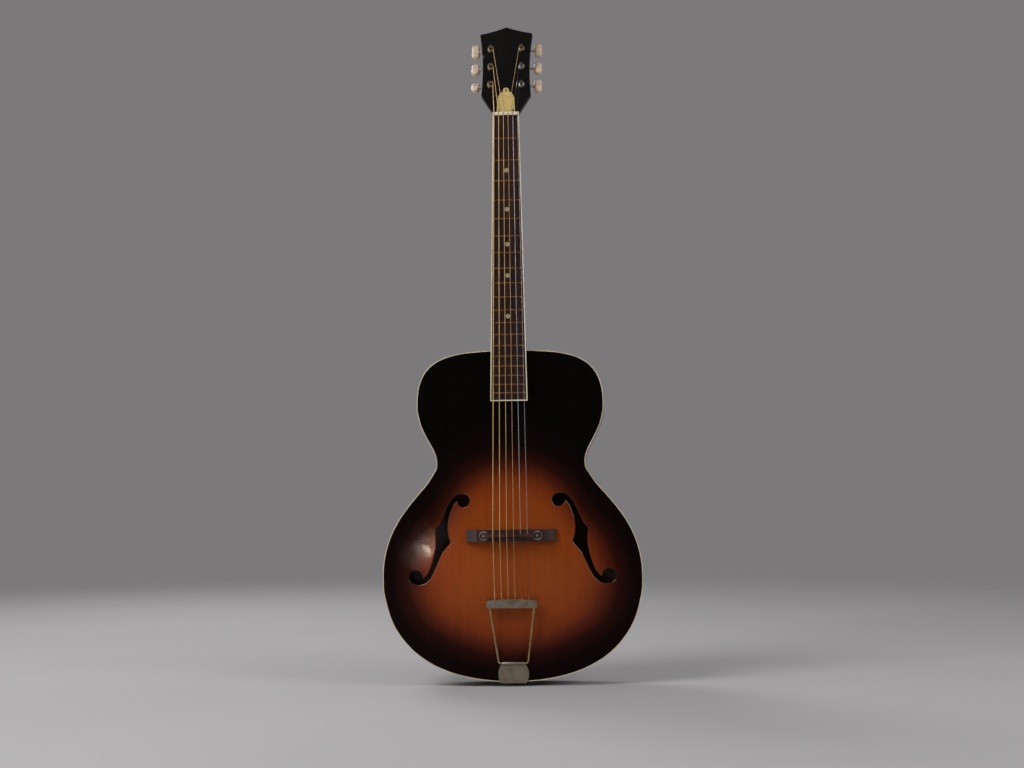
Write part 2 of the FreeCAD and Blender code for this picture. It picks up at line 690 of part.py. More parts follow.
def make_board():
    """Fingerboard with binding, frets, dots and nut, in the frame of the neck."""
    round_face = board_round()
    core = board_plan(BOARD_BINDING_WIDTH).common(round_face)
    binding = board_plan(0).common(round_face).cut(board_plan(BOARD_BINDING_WIDTH))
    frets = []
    half_base = FRET_WIDTH / 2
    half_tang = TANG_WIDTH / 2
    for number in range(1, FRET_COUNT + 1):
        z = -fret_distance(number)
        half = board_half_width(z) - BOARD_BINDING_WIDTH
        bead = Part.Arc(Vector(0, -FRET_EDGE, -half_base), Vector(0, -FRET_HEIGHT, 0),
                        Vector(0, -FRET_EDGE, half_base))
        sides = polygon([Vector(0, -FRET_EDGE, half_base), Vector(0, 0, half_base), Vector(0, 0, half_tang),
                         Vector(0, TANG_DEPTH, half_tang), Vector(0, TANG_DEPTH, -half_tang),
                         Vector(0, 0, -half_tang), Vector(0, 0, -half_base),
                         Vector(0, -FRET_EDGE, -half_base)])
        frets.append(along_board(Part.Wire([bead.toShape()] + sides.Edges[:-1]), z, half))
    dots = []
    for number in DOT_FRETS:
        z = -(fret_distance(number) + fret_distance(number - 1)) / 2
        dots.append(rod(Vector(0, 0, z), Vector(0, DOT_DEPTH, z), DOT_DIAMETER).common(round_face))
    core = core.cut(frets + dots)
    return {
        "fingerboard": core,
        "fingerboard_binding": binding,
        "frets": group(frets),
        "position_dots": group(dots),
    }


def neck_section(z, half, depth, flank, belly):
    """Half-round section of the neck, flat against the fingerboard."""
    top = BOARD_THICKNESS
    low = top + depth
    edges = [Part.makeLine(Vector(half, top, z), Vector(-half, top, z))]
    for side in (-1, 1):
        poles = [Vector(side * half, top, z), Vector(side * half, top + flank * depth, z),
                 Vector(side * belly * half, low, z), Vector(0, low, z)]
        edges.append(bezier(poles).toShape())
    return closed(edges)


def head_wire():
    """Outline of the head in its own frame, from the nut up to the peak."""
    nut = NUT_WIDTH / 2
    edges = [Part.makeLine(Vector(-nut, 0, 0), Vector(nut, 0, 0))]
    for side in (-1, 1):
        shoulder = Vector(side * HEAD_SHOULDER_WIDTH / 2, 0, HEAD_SHOULDER_RISE)
        waist = Vector(side * HEAD_WAIST_WIDTH / 2, 0, HEAD_WAIST_RISE)
        corner = Vector(side * HEAD_TOP_WIDTH / 2, 0, HEAD_CORNER_RISE)
        peak = Vector(0, 0, HEAD_LENGTH)
        middle = (corner + peak) * 0.5 - Vector(0, 0, HEAD_CROWN_DIP)
        edges.append(Part.makeLine(Vector(side * nut, 0, 0), shoulder))
        edges.append(spline([shoulder, waist, corner]))
        edges.append(Part.Arc(corner, middle, peak).toShape())
    return closed(edges)


def head_slab(front, back):
    """Slab of the head between two depths behind its face, with softened corners."""
    slab = prism(head_wire(), front, back)
    corners = []
    for edge in slab.Edges:
        spot = edge.CenterOfMass
        upright = abs(edge.tangentAt(edge.FirstParameter).y) > 0.99
        if upright and abs(spot.x) > NUT_WIDTH / 2 + HEAD_CORNER_RADIUS:
            corners.append(edge)
    return slab.makeFillet(HEAD_CORNER_RADIUS, corners)


def nut_string(number):
    """Axis of a string where it crosses the nut, in the frame of the neck."""
    x = spread(NUT_STRING_SPREAD, len(STRING_DIAMETERS), number)
    rise = FRET_HEIGHT + NUT_ACTION + STRING_DIAMETERS[number] / 2
    return Vector(x, crown(x) - rise, NUT_THICKNESS / 2)


def saddle_string(number):
    """Axis of a string where it crosses the saddle, in the frame of the guitar."""
    x = spread(SADDLE_STRING_SPREAD, len(STRING_DIAMETERS), number)
    rise = FRET_HEIGHT + SADDLE_ACTION + STRING_DIAMETERS[number] / 2
    return NECK.multVec(Vector(x, crown(x) - rise, -SCALE_LENGTH))


def string_post(number):
    """Side and place along the head of the post that takes a string."""
    if number < POSTS_PER_SIDE:
        return -1, POST_RISES[number]
    return 1, POST_RISES[2 * POSTS_PER_SIDE - 1 - number]


def winding_start(number):
    """Point where a string first touches its post, its run from the nut, and the winding's sizes."""
    side, rise = string_post(number)
    diameter = STRING_DIAMETERS[number]
    radius = POST_DIAMETER / 2 + WIND_CLEARANCE + diameter / 2
    pitch = diameter + WIND_GAP
    bottom = -(BUSHING_FLANGE + WIND_SEAT + diameter / 2)
    level = bottom - pitch * WIND_QUARTERS[number] / 4
    start = HEAD.inverse().multVec(NECK.multVec(nut_string(number)))
    centre = Vector(side * POST_SPREAD / 2, 0, rise)
    gap = Vector(centre.x - start.x, 0, centre.z - start.z)
    bearing = math.atan2(gap.z, gap.x) + side * math.asin(radius / gap.Length)
    run = math.sqrt(gap.Length ** 2 - radius ** 2)
    touch = Vector(start.x + run * math.cos(bearing), level, start.z + run * math.sin(bearing))
    return side, centre, radius, pitch, touch


def make_nut():
    """Nut with a slot for each string, in the frame of the neck."""
    half = NUT_WIDTH / 2
    blank = box(-half, half, -NUT_CROWN, BOARD_THICKNESS, 0, NUT_THICKNESS)
    dome = rod(Vector(0, BOARD_RADIUS - NUT_CROWN, -OVERRUN), Vector(0, BOARD_RADIUS - NUT_CROWN, OVERRUN),
               2 * BOARD_RADIUS)
    nut = blank.common(dome)
    slots = []
    for number, diameter in enumerate(STRING_DIAMETERS):
        spot = nut_string(number)
        touch = NECK.inverse().multVec(HEAD.multVec(winding_start(number)[4]))
        leave = touch - spot
        floor = spot.y + diameter / 2 + NUT_SLOT_CLEARANCE
        drop = NUT_THICKNESS / 2 * leave.y / leave.z
        half = diameter / 2 + NUT_SLOT_CLEARANCE + NUT_THICKNESS / 2 * abs(leave.x / leave.z)
        wire = polygon([Vector(0, -OVERRUN, -NUT_THICKNESS), Vector(0, floor, -NUT_THICKNESS),
                        Vector(0, floor, spot.z), Vector(0, floor + drop * 2, spot.z + NUT_THICKNESS),
                        Vector(0, -OVERRUN, spot.z + NUT_THICKNESS)])
        slot = Part.Face(wire).extrude(Vector(2 * half, 0, 0))
        slot.translate(Vector(spot.x - half, 0, 0))
        slots.append(slot)
    return nut.cut(slots)


def cover_wire():
    """Bell outline of the truss rod cover in the frame of the head."""
    foot = COVER_GAP
    tab = COVER_TAB_WIDTH / 2
    crest = COVER_LENGTH - tab
    neck = COVER_NECK_WIDTH / 2
    edges = [Part.makeLine(Vector(-COVER_WIDTH / 2, 0, foot), Vector(COVER_WIDTH / 2, 0, foot))]
    join = crest - math.sqrt(tab ** 2 - neck ** 2)
    for side in (-1, 1):
        hip = Vector(side * COVER_WAIST_WIDTH / 2, 0, COVER_WAIST_RISE)
        throat = Vector(side * neck, 0, join)
        low = Vector(side * COVER_WIDTH / 2, 0, foot)
        edges.append(Part.makeLine(low, hip))
        poles = [hip, Vector(hip.x, 0, (hip.z + join) / 2), Vector((hip.x + throat.x) / 2, 0, join), throat]
        edges.append(bezier(poles).toShape())
    top = Vector(0, 0, COVER_LENGTH)
    edges.append(Part.Arc(Vector(-neck, 0, join), top, Vector(neck, 0, join)).toShape())
    return closed(edges)


def wood_screw(x, seat, z, side):
    """Domed screw whose head sits on a seat and whose shank points to the other side of it."""
    head = rod(Vector(x, seat, z), Vector(x, seat + side * SCREW_HEAD_HEIGHT, z), SCREW_HEAD_DIAMETER)
    rim = [edge for edge in head.Edges if abs(edge.CenterOfMass.y - seat) > SCREW_HEAD_HEIGHT / 2
           and edge.Curve.TypeId == "Part::GeomCircle"]
    head = head.makeFillet(SCREW_HEAD_HEIGHT / 2, rim)
    shank = rod(Vector(x, seat - side * SCREW_LENGTH, z), Vector(x, seat, z), SCREW_SHANK_DIAMETER)
    return head.fuse(shank).removeSplitter()


def strip_screw_rises():
    """Places of the screws along a tuner strip: past both ends and between the tuners."""
    low = POST_RISES[0] - STRIP_END + SCREW_HEAD_DIAMETER
    high = POST_RISES[-1] + STRIP_TOP_END - SCREW_HEAD_DIAMETER
    between = [rise + (POST_PITCH + WORM_OFFSET) / 2 for rise in POST_RISES[:-1]]
    return [low] + between + [high]


def head_screws():
    """Screws of the truss rod cover and of both tuner strips, in the frame of the head."""
    cover_side = COVER_WIDTH / 2 - COVER_SCREW_INSET
    cover_low = COVER_GAP + COVER_SCREW_INSET
    spots = [(0, COVER_LENGTH - COVER_TAB_WIDTH / 2), (-cover_side, cover_low), (cover_side, cover_low)]
    screws = [wood_screw(x, -COVER_THICKNESS, z, -1) for x, z in spots]
    for _, side in SIDES:
        for rise in strip_screw_rises():
            screws.append(wood_screw(side * POST_SPREAD / 2, HEAD_BACK + STRIP_THICKNESS, rise, 1))
    return screws


def post_bores(diameter, front, back):
    """Straight bores for all the posts between two depths behind the head's face."""
    bores = []
    for _, side in SIDES:
        for rise in POST_RISES:
            x = side * POST_SPREAD / 2
            bores.append(rod(Vector(x, front, rise), Vector(x, back, rise), diameter))
    return bores


def make_neck():
    """Neck with heel, tongue, dovetail and head, the veneer, and the truss rod with its nut and cover."""
    drop = (NUT_HEIGHT - BODY_LENGTH) / NECK_COS
    heel_depth = RIM_DEPTH + BOARD_RISE
    heel_end = -drop + heel_depth * NECK_SIN / NECK_COS
    heel_start = heel_end + HEEL_RUN
    past_nut = NUT_THICKNESS
    shaft = Part.makeLoft([
        neck_section(past_nut, board_half_width(past_nut), NECK_DEPTH_AT_NUT,
                     NECK_FLANK_SHARE, NECK_BELLY_SHARE),
        neck_section(heel_start, board_half_width(heel_start), NECK_DEPTH_AT_HEEL, NECK_FLANK_SHARE,
                     NECK_BELLY_SHARE)], True, True)
    sections = []
    for step in range(HEEL_STEPS):
        turn = math.pi / 2 * step / (HEEL_STEPS - 1)
        z = heel_start - HEEL_RUN * math.sin(turn)
        share = 1 - math.cos(turn)
        depth = NECK_DEPTH_AT_HEEL + share * (heel_depth - NECK_DEPTH_AT_HEEL)
        flank = NECK_FLANK_SHARE + share * (HEEL_FLANK_SHARE - NECK_FLANK_SHARE)
        belly = NECK_BELLY_SHARE + share * (HEEL_BELLY_SHARE - NECK_BELLY_SHARE)
        sections.append(neck_section(z, board_half_width(z), depth, flank, belly))
    heel = Part.makeLoft(sections, True, False)
    foot = Part.Face(sections[-1]).extrude(Vector(0, 0, -drop - SIDE_THICKNESS - heel_end))
    tongue = box(-TONGUE_WIDTH / 2, TONGUE_WIDTH / 2, BOARD_THICKNESS, BOARD_THICKNESS + BOARD_RISE,
                 -BOARD_LENGTH + TONGUE_END_GAP, heel_end)
    body_room = prism(outline(-GLUE_LINE), FRONT - TONGUE_LIFT, BACK + OVERRUN)
    behind = box(-OVERRUN, OVERRUN, BACK, BACK + OVERRUN, 0, NUT_HEIGHT)
    over_top = arched_slab(FRONT - TONGUE_LIFT, TOP_ARCH, -1, RIM_DEPTH)
    under_board = box(-OVERRUN, OVERRUN, -OVERRUN, BOARD_THICKNESS, -BOARD_LENGTH - OVERRUN, NUT_THICKNESS)
    raw = put(shaft.multiFuse([heel, foot]), NECK).cut([body_room, behind])
    tongue = put(tongue, NECK).cut(over_top)

    round_edges = []
    slab = head_slab(VENEER_THICKNESS, HEAD_BACK)
    for edge in slab.Edges:
        spot = edge.CenterOfMass
        straight = edge.Curve.TypeId == "Part::GeomLine" and abs(edge.tangentAt(edge.FirstParameter).y) < 0.01
        if straight and abs(spot.y - HEAD_BACK) < GLUE_LINE and abs(spot.x) > NUT_WIDTH / 4:
            round_edges.append(edge)
    slab = slab.makeFillet(HEAD_BACK_ROUND, round_edges)
    neck = raw.multiFuse([put(slab, HEAD), tongue, mortise_prism(0)])

    axis = BOARD_THICKNESS + ROD_DEPTH
    radius = ROD_DIAMETER / 2
    half_channel = radius + ROD_CLEARANCE
    pocket_low = NUT_THICKNESS + POCKET_GAP
    rod_start = -JOINT_DISTANCE + ROD_HEEL_GAP
    channel = box(-half_channel, half_channel, BOARD_THICKNESS, axis + half_channel,
                  rod_start - ROD_CLEARANCE, pocket_low)
    nut_radius = ROD_NUT_ACROSS / math.sqrt(3)
    pocket = box(-POCKET_WIDTH / 2, POCKET_WIDTH / 2, -OVERRUN, axis + nut_radius + POCKET_FLOOR_CLEARANCE,
                 pocket_low, pocket_low + POCKET_LENGTH)
    hollows = [put(shape, NECK) for shape in (under_board, channel, pocket)]
    screws = head_screws()
    bores = post_bores(BUSHING_DIAMETER, 0, BUSHING_LENGTH)
    bores += post_bores(POST_DIAMETER + 2 * RUNNING_CLEARANCE + GLUE_LINE, BUSHING_LENGTH, HEAD_BACK)
    drilled = [put(shape, HEAD) for shape in screws + bores]
    neck = neck.cut(hollows + drilled).removeSplitter()
    veneer = put(head_slab(0, VENEER_THICKNESS), HEAD).cut(hollows + drilled)

    rod_end = pocket_low + ROD_NUT_LENGTH + ROD_TIP
    truss = rod(Vector(0, axis, rod_start), Vector(0, axis, rod_end), ROD_DIAMETER)
    corners = []
    for corner in range(6):
        turn = math.radians(60 * corner + 30)
        corners.append(Vector(nut_radius * math.cos(turn), axis + nut_radius * math.sin(turn),
                              pocket_low + RUNNING_CLEARANCE))
    rod_nut = Part.Face(polygon(corners)).extrude(Vector(0, 0, ROD_NUT_LENGTH))
    rod_bore = ROD_DIAMETER + 2 * RUNNING_CLEARANCE
    rod_nut = rod_nut.cut(rod(Vector(0, axis, 0), Vector(0, axis, OVERRUN), rod_bore))
    cover = prism(cover_wire(), -COVER_THICKNESS, 0).cut(screws)
    parts = {
        "neck": neck,
        "head_veneer": veneer,
        "truss_rod": put(truss, NECK),
        "truss_rod_nut": put(rod_nut, NECK),
        "truss_rod_cover": put(cover, HEAD),
        "head_screws": group([put(s, HEAD) for s in screws]),
    }
    for name, shape in make_board().items():
        parts[name] = put(shape, NECK)
    parts["nut"] = put(make_nut(), NECK)
    return parts


def gear_blank():
    """Spur gear about the Y axis with a tooth facing +Z, which stands between two turns of the worm."""
    tip = GEAR_PITCH_RADIUS + ADDENDUM
    root = GEAR_PITCH_RADIUS - DEDENDUM
    half = TOOTH_SHARE * TOOTH_PITCH / 2
    tip_half = half - ADDENDUM * TOOTH_TAPER_SHARE
    root_half = half + DEDENDUM * TOOTH_TAPER_SHARE
    points = []
    for tooth in range(GEAR_TEETH):
        middle = 2 * math.pi * tooth / GEAR_TEETH
        for radius, offset in ((root, -root_half), (tip, -tip_half), (tip, tip_half), (root, root_half)):
            turn = middle + offset / radius
            points.append((radius * math.sin(turn), radius * math.cos(turn)))
    wheel = prism(front_polygon(points), -GEAR_THICKNESS / 2, GEAR_THICKNESS / 2)
    return wheel.cut(rod(Vector(0, -GEAR_THICKNESS, 0), Vector(0, GEAR_THICKNESS, 0), GEAR_STEM_DIAMETER))


def worm_blank(reach):
    """Worm shaft along X, its thread about the origin, from the inner ear out to the button."""
    thread_half = TOOTH_SHARE * TOOTH_PITCH / 2
    crest_half = thread_half - ADDENDUM * TOOTH_TAPER_SHARE
    foot_half = THREAD_FOOT / 2
    foot = WORM_ROOT - RUNNING_CLEARANCE
    profile = polygon([Vector(foot, 0, -foot_half), Vector(WORM_CREST, 0, -crest_half),
                       Vector(WORM_CREST, 0, crest_half), Vector(foot, 0, foot_half)])
    path = Part.Wire(Part.makeHelix(TOOTH_PITCH, WORM_TURNS * TOOTH_PITCH, WORM_ROOT))
    thread = path.makePipeShell([profile], True, True)
    thread.translate(Vector(0, 0, -WORM_TURNS * TOOTH_PITCH / 2))
    core_half = EAR_OFFSET - WORM_SIDE_PLAY / 2
    core = rod(Vector(0, 0, -core_half), Vector(0, 0, core_half), 2 * WORM_ROOT)
    journal = SHAFT_DIAMETER
    far_end = -EAR_OFFSET - EAR_THICKNESS - RUNNING_CLEARANCE
    inner = rod(Vector(0, 0, far_end), Vector(0, 0, -core_half), journal)
    outer = rod(Vector(0, 0, core_half), Vector(0, 0, reach), journal)
    worm = core.multiFuse([thread, inner, outer]).removeSplitter()
    worm.rotate(Vector(0, 0, 0), Y_AXIS, 90)
    return worm


def button_blank(inner, turn):
    """Flattened oval button on the shaft along X, from its collar outwards."""
    start = inner + BUTTON_COLLAR_LENGTH
    outer = inner + BUTTON_LENGTH
    body = box(start, outer, -BUTTON_THICKNESS / 2, BUTTON_THICKNESS / 2,
               -BUTTON_HEIGHT / 2, BUTTON_HEIGHT / 2)
    upright = [e for e in body.Edges if abs(e.tangentAt(e.FirstParameter).y) > 0.99]
    body = body.makeFillet(min(BUTTON_CORNER_RADIUS, (outer - start) / 2 - BUTTON_EDGE_RADIUS / 4), upright)
    faces = [f for f in body.Faces if abs(f.normalAt(0, 0).y) > 0.99]
    rims = [edge for face in faces for edge in face.Edges]
    body = body.makeFillet(min(BUTTON_EDGE_RADIUS, BUTTON_THICKNESS / 2 - RUNNING_CLEARANCE), rims)
    collar = rod(Vector(inner, 0, 0), Vector(start + BUTTON_EDGE_RADIUS, 0, 0), BUTTON_COLLAR_DIAMETER)
    button = body.fuse(collar).removeSplitter()
    button = button.cut(rod(Vector(0, 0, 0), Vector((inner + outer) / 2, 0, 0), SHAFT_DIAMETER))
    button.rotate(Vector(0, 0, 0), X_AXIS, turn)
    return button


def post_blank():
    """String post along Y with a waist for the winding, a string hole and a stem for the gear."""
    gear_front = WORM_DEPTH - GEAR_THICKNESS / 2
    gear_back = WORM_DEPTH + GEAR_THICKNESS / 2
    radius = POST_DIAMETER / 2
    waist = POST_WAIST_DIAMETER / 2
    middle = -(POST_TOP - POST_CAP + BUSHING_FLANGE) / 2
    half_waist = (POST_TOP - POST_CAP - BUSHING_FLANGE) / 2
    blank = rod(Vector(0, -POST_TOP, 0), Vector(0, gear_front, 0), POST_DIAMETER)
    arc = Part.Arc(Vector(radius, middle - half_waist, 0), Vector(waist, middle, 0),
                   Vector(radius, middle + half_waist, 0))
    chord = Part.makeLine(Vector(radius, middle + half_waist, 0), Vector(radius, middle - half_waist, 0))
    groove = Part.Face(Part.Wire([arc.toShape(), chord])).revolve(Vector(0, 0, 0), Y_AXIS, 360)
    stem = rod(Vector(0, gear_front, 0), Vector(0, gear_back, 0), GEAR_STEM_DIAMETER)
    hole = rod(Vector(-radius, middle, 0), Vector(radius, middle, 0), POST_HOLE_DIAMETER)
    bore = rod(Vector(0, gear_back - GEAR_SCREW_DEPTH, 0), Vector(0, gear_back, 0), GEAR_SCREW_SHANK_DIAMETER)
    post = blank.fuse(stem).removeSplitter().cut([groove, hole, bore])
    head_end = Vector(0, gear_back + GEAR_SCREW_HEAD_HEIGHT, 0)
    head = rod(Vector(0, gear_back, 0), head_end, GEAR_SCREW_HEAD_DIAMETER)
    screw = head.fuse(bore).removeSplitter()
    return post, screw


def strip_plate(side):
    """Strip with bent ears that carries the three tuners of one side, in the frame of the head."""
    x = side * POST_SPREAD / 2
    low = POST_RISES[0] - STRIP_END
    high = POST_RISES[-1] + STRIP_TOP_END
    half = STRIP_WIDTH / 2
    front = HEAD_BACK
    back = HEAD_BACK + STRIP_THICKNESS
    strip = box(x - half, x + half, front, back, low, high)
    upright = [e for e in strip.Edges if abs(e.tangentAt(e.FirstParameter).y) > 0.99]
    strip = strip.makeFillet(min(STRIP_CORNER, half - RUNNING_CLEARANCE), upright)
    ears = []
    holes = []
    for rise in POST_RISES:
        z = rise + WORM_OFFSET
        for end in (-1, 1):
            inner = x + end * EAR_OFFSET
            outer = inner + end * EAR_THICKNESS
            near, far = sorted((inner, outer))
            web = box(near, far, front, WORM_DEPTH, z - EAR_WIDTH / 2, z + EAR_WIDTH / 2)
            cap = rod(Vector(near, WORM_DEPTH, z), Vector(far, WORM_DEPTH, z), EAR_WIDTH)
            ears += [web, cap]
        holes.append(rod(Vector(x - half, WORM_DEPTH, z), Vector(x + half, WORM_DEPTH, z),
                         SHAFT_DIAMETER + 2 * RUNNING_CLEARANCE))
        holes.append(rod(Vector(x, front, rise), Vector(x, back, rise),
                         POST_DIAMETER + 2 * RUNNING_CLEARANCE))
    return fused([strip] + ears).cut(holes + head_screws())


def make_tuners():
    """Six open-geared tuners, numbered from the bass side's lowest post round to the treble side's lowest."""
    parts = {}
    strips = {name: strip_plate(side) for name, side in SIDES}
    for name, strip in strips.items():
        parts["tuner_strip_" + name] = put(strip, HEAD)
    button_start = HEAD_WAIST_WIDTH / 2 - POST_SPREAD / 2 + BUTTON_GAP
    worm = worm_blank(button_start + BUTTON_LENGTH / 2)
    gear = gear_blank()
    post, screw = post_blank()
    for number in range(2 * POSTS_PER_SIDE):
        side, rise = string_post(number)
        turn = BUTTON_TURNS[number]
        x = side * POST_SPREAD / 2
        facing = Rotation(Z_AXIS, 0 if side > 0 else 180)
        shaft_place = HEAD.multiply(Placement(Vector(x, WORM_DEPTH, rise + WORM_OFFSET), facing))
        post_place = HEAD.multiply(Placement(Vector(x, 0, rise), Rotation()))
        gear_place = HEAD.multiply(Placement(Vector(x, WORM_DEPTH, rise), Rotation()))
        tag = str(number + 1)
        parts["tuner_worm_" + tag] = put(worm, shaft_place)
        parts["tuner_button_" + tag] = put(button_blank(button_start, turn), shaft_place)
        parts["tuner_gear_" + tag] = put(gear, gear_place)
        parts["tuner_post_" + tag] = group([put(post, post_place), put(screw, post_place)])
    bushings = []
    for _, side in SIDES:
        for rise in POST_RISES:
            x = side * POST_SPREAD / 2
            flange = rod(Vector(x, -BUSHING_FLANGE, rise), Vector(x, 0, rise), BUSHING_FLANGE_DIAMETER)
            tube = rod(Vector(x, 0, rise), Vector(x, BUSHING_LENGTH, rise), BUSHING_DIAMETER)
            bore = rod(Vector(x, -BUSHING_FLANGE, rise), Vector(x, BUSHING_LENGTH, rise),
                       POST_DIAMETER + 2 * RUNNING_CLEARANCE)
            bushings.append(flange.fuse(tube).removeSplitter().cut(bore))
    parts["tuner_bushings"] = group([put(bushing, HEAD) for bushing in bushings])
    return parts


def make_bridge():
    """Floating bridge: base fitted to the arch, posts, thumbwheels and saddle."""
    centre = NECK.multVec(Vector(0, 0, -SCALE_LENGTH)).z
    low = centre - BRIDGE_WIDTH / 2
    high = centre + BRIDGE_WIDTH / 2
    half = BRIDGE_LENGTH / 2
    deck = FRONT - arch_at(0, centre, TOP_ARCH) - BRIDGE_BASE_HEIGHT
    wing = FRONT - arch_at(half, centre, TOP_ARCH) - BRIDGE_WING_HEIGHT
    outline_points = [(-half, wing), (-BRIDGE_WING_START, deck), (BRIDGE_WING_START, deck), (half, wing),
                      (half, FRONT), (-half, FRONT)]
    base_wire = polygon([Vector(x, y, low) for x, y in outline_points])
    base = Part.Face(base_wire).extrude(Vector(0, 0, BRIDGE_WIDTH))
    base = base.cut(arched_slab(FRONT - BRIDGE_SEAT, TOP_ARCH, -1, OVERRUN))

    wheel_back = deck - WHEEL_LIFT
    wheel_front = wheel_back - WHEEL_THICKNESS
    foot = wheel_front - SADDLE_SEAT
    posts = []
    wheels = {}
    holes = []
    for name, side in SIDES:
        x = side * BRIDGE_POST_SPREAD / 2
        tip = foot - SADDLE_END_HEIGHT - BRIDGE_POST_TIP
        foot_end = Vector(x, deck + BRIDGE_POST_DEPTH, centre)
        posts.append(rod(Vector(x, tip, centre), foot_end, BRIDGE_POST_DIAMETER))
        wheel = rod(Vector(x, wheel_front, centre), Vector(x, wheel_back, centre), WHEEL_DIAMETER)
        cuts = [rod(Vector(x, wheel_front, centre), Vector(x, wheel_back, centre),
                    BRIDGE_POST_DIAMETER + 2 * RUNNING_CLEARANCE)]
        for notch in range(WHEEL_NOTCHES):
            turn = 2 * math.pi * notch / WHEEL_NOTCHES
            spot = Vector(x + WHEEL_DIAMETER / 2 * math.cos(turn), wheel_front,
                          centre + WHEEL_DIAMETER / 2 * math.sin(turn))
            cuts.append(rod(spot, spot + Vector(0, WHEEL_THICKNESS, 0), WHEEL_NOTCH_DIAMETER))
        wheels[name] = wheel.cut(cuts)
        holes.append(rod(Vector(x, deck - OVERRUN, centre), Vector(x, deck, centre),
                         BRIDGE_POST_DIAMETER + 2 * SADDLE_POST_CLEARANCE))
    base = base.cut(posts)

    edge = BRIDGE_POST_SPREAD / 2 + SADDLE_END
    ridge_half = SADDLE_STRING_SPREAD / 2 + SADDLE_STRING_MARGIN
    ridge_top = saddle_string(len(STRING_DIAMETERS) // 2).y
    ridge_end = ridge_top + crown(ridge_half)
    end = foot - SADDLE_END_HEIGHT
    step = ridge_half + SADDLE_STEP
    ridge = Part.Arc(Vector(-ridge_half, ridge_end, 0), Vector(0, ridge_top, 0),
                     Vector(ridge_half, ridge_end, 0))
    rest = polygon([Vector(ridge_half, ridge_end, 0), Vector(step, end, 0), Vector(edge, end, 0),
                    Vector(edge, foot, 0), Vector(-edge, foot, 0), Vector(-edge, end, 0),
                    Vector(-step, end, 0), Vector(-ridge_half, ridge_end, 0)])
    face = Part.Face(Part.Wire([ridge.toShape()] + rest.Edges[:-1]))
    face.translate(Vector(0, 0, centre - SADDLE_FOOT / 2))
    long_form = face.extrude(Vector(0, 0, SADDLE_FOOT))
    half_foot = SADDLE_FOOT / 2
    half_ridge = SADDLE_RIDGE / 2
    section = polygon([Vector(-edge, foot, centre - half_foot), Vector(-edge, foot, centre + half_foot),
                       Vector(-edge, end, centre + half_foot), Vector(-edge, ridge_top, centre + half_ridge),
                       Vector(-edge, ridge_top, centre - half_ridge), Vector(-edge, end, centre - half_foot)])
    short_form = Part.Face(section).extrude(Vector(2 * edge, 0, 0))
    straight = edge - half_foot
    plan = [box(-straight, straight, deck - OVERRUN, deck, centre - half_foot, centre + half_foot)]
    for side in (-1, 1):
        spot = Vector(side * straight, deck - OVERRUN, centre)
        plan.append(rod(spot, spot + Vector(0, OVERRUN, 0), SADDLE_FOOT))
    saddle = long_form.common(short_form).common(fused(plan)).cut(holes)
    slots = []
    for number, diameter in enumerate(STRING_DIAMETERS):
        spot = saddle_string(number)
        to_nut = NECK.multVec(nut_string(number)) - spot
        to_tail = tail_string(number) - spot
        floor = spot.y + diameter / 2 + SADDLE_SLOT_CLEARANCE
        up = SADDLE_FOOT * to_nut.y / to_nut.z
        down = SADDLE_FOOT * to_tail.y / -to_tail.z
        slot_half = diameter / 2 + SADDLE_SLOT_CLEARANCE
        wire = polygon([Vector(0, floor - OVERRUN, spot.z - SADDLE_FOOT),
                        Vector(0, floor + down, spot.z - SADDLE_FOOT),
                        Vector(0, floor, spot.z), Vector(0, floor + up, spot.z + SADDLE_FOOT),
                        Vector(0, floor - OVERRUN, spot.z + SADDLE_FOOT)])
        slot = Part.Face(wire).extrude(Vector(2 * slot_half, 0, 0))
        slot.translate(Vector(spot.x - slot_half, 0, 0))
        slots.append(slot)
    return {"bridge_base": base, "bridge_posts": group(posts), "bridge_saddle": saddle.cut(slots),
            "thumbwheel_bass": wheels["bass"], "thumbwheel_treble": wheels["treble"]}


def hinge_place():
    """Frame of the tailpiece: X along its hinge and Z up towards the crossbar."""
    outer = WIRE_DIAMETER / 2 + RUNNING_CLEARANCE + HINGE_WALL
    y = FRONT - arch_at(0, HINGE_HEIGHT + outer, TOP_ARCH) - BRACKET_SEAT - outer
    return Placement(Vector(0, y, HINGE_HEIGHT), Rotation(X_AXIS, TAIL_ANGLE))


def tail_string(number):
    """Centre of a string's ball end in the crossbar, in the frame of the guitar."""
    x = spread(TAIL_STRING_SPREAD, len(STRING_DIAMETERS), number)
    z = CROSSBAR_RISE + CROSSBAR_HEIGHT - CROSSBAR_WALL - BALL_DIAMETER / 2 - RUNNING_CLEARANCE
    return hinge_place().multVec(Vector(x, 0, z))


def tail_screws():
    """Screws that hold the bracket to the tail, on either side of the end pin."""
    seat = -BRACKET_SEAT_AT_TAIL - BRACKET_THICKNESS
    screws = []
    for _, side in SIDES:
        spot = Vector(side * BRACKET_SCREW_SPREAD / 2, -BRACKET_SCREW_PLACE, seat)
        head = rod(spot - Vector(0, 0, TAIL_SCREW_HEAD_HEIGHT), spot, TAIL_SCREW_HEAD_DIAMETER)
        rims = [e for e in head.Edges if e.Curve.TypeId == "Part::GeomCircle" and e.CenterOfMass.z < spot.z
                - TAIL_SCREW_HEAD_HEIGHT / 2]
        head = head.makeFillet(TAIL_SCREW_HEAD_HEIGHT / 2, rims)
        shank = rod(spot, spot + Vector(0, 0, TAIL_SCREW_LENGTH), TAIL_SCREW_SHANK_DIAMETER)
        screws.append(head.fuse(shank).removeSplitter())
    return screws


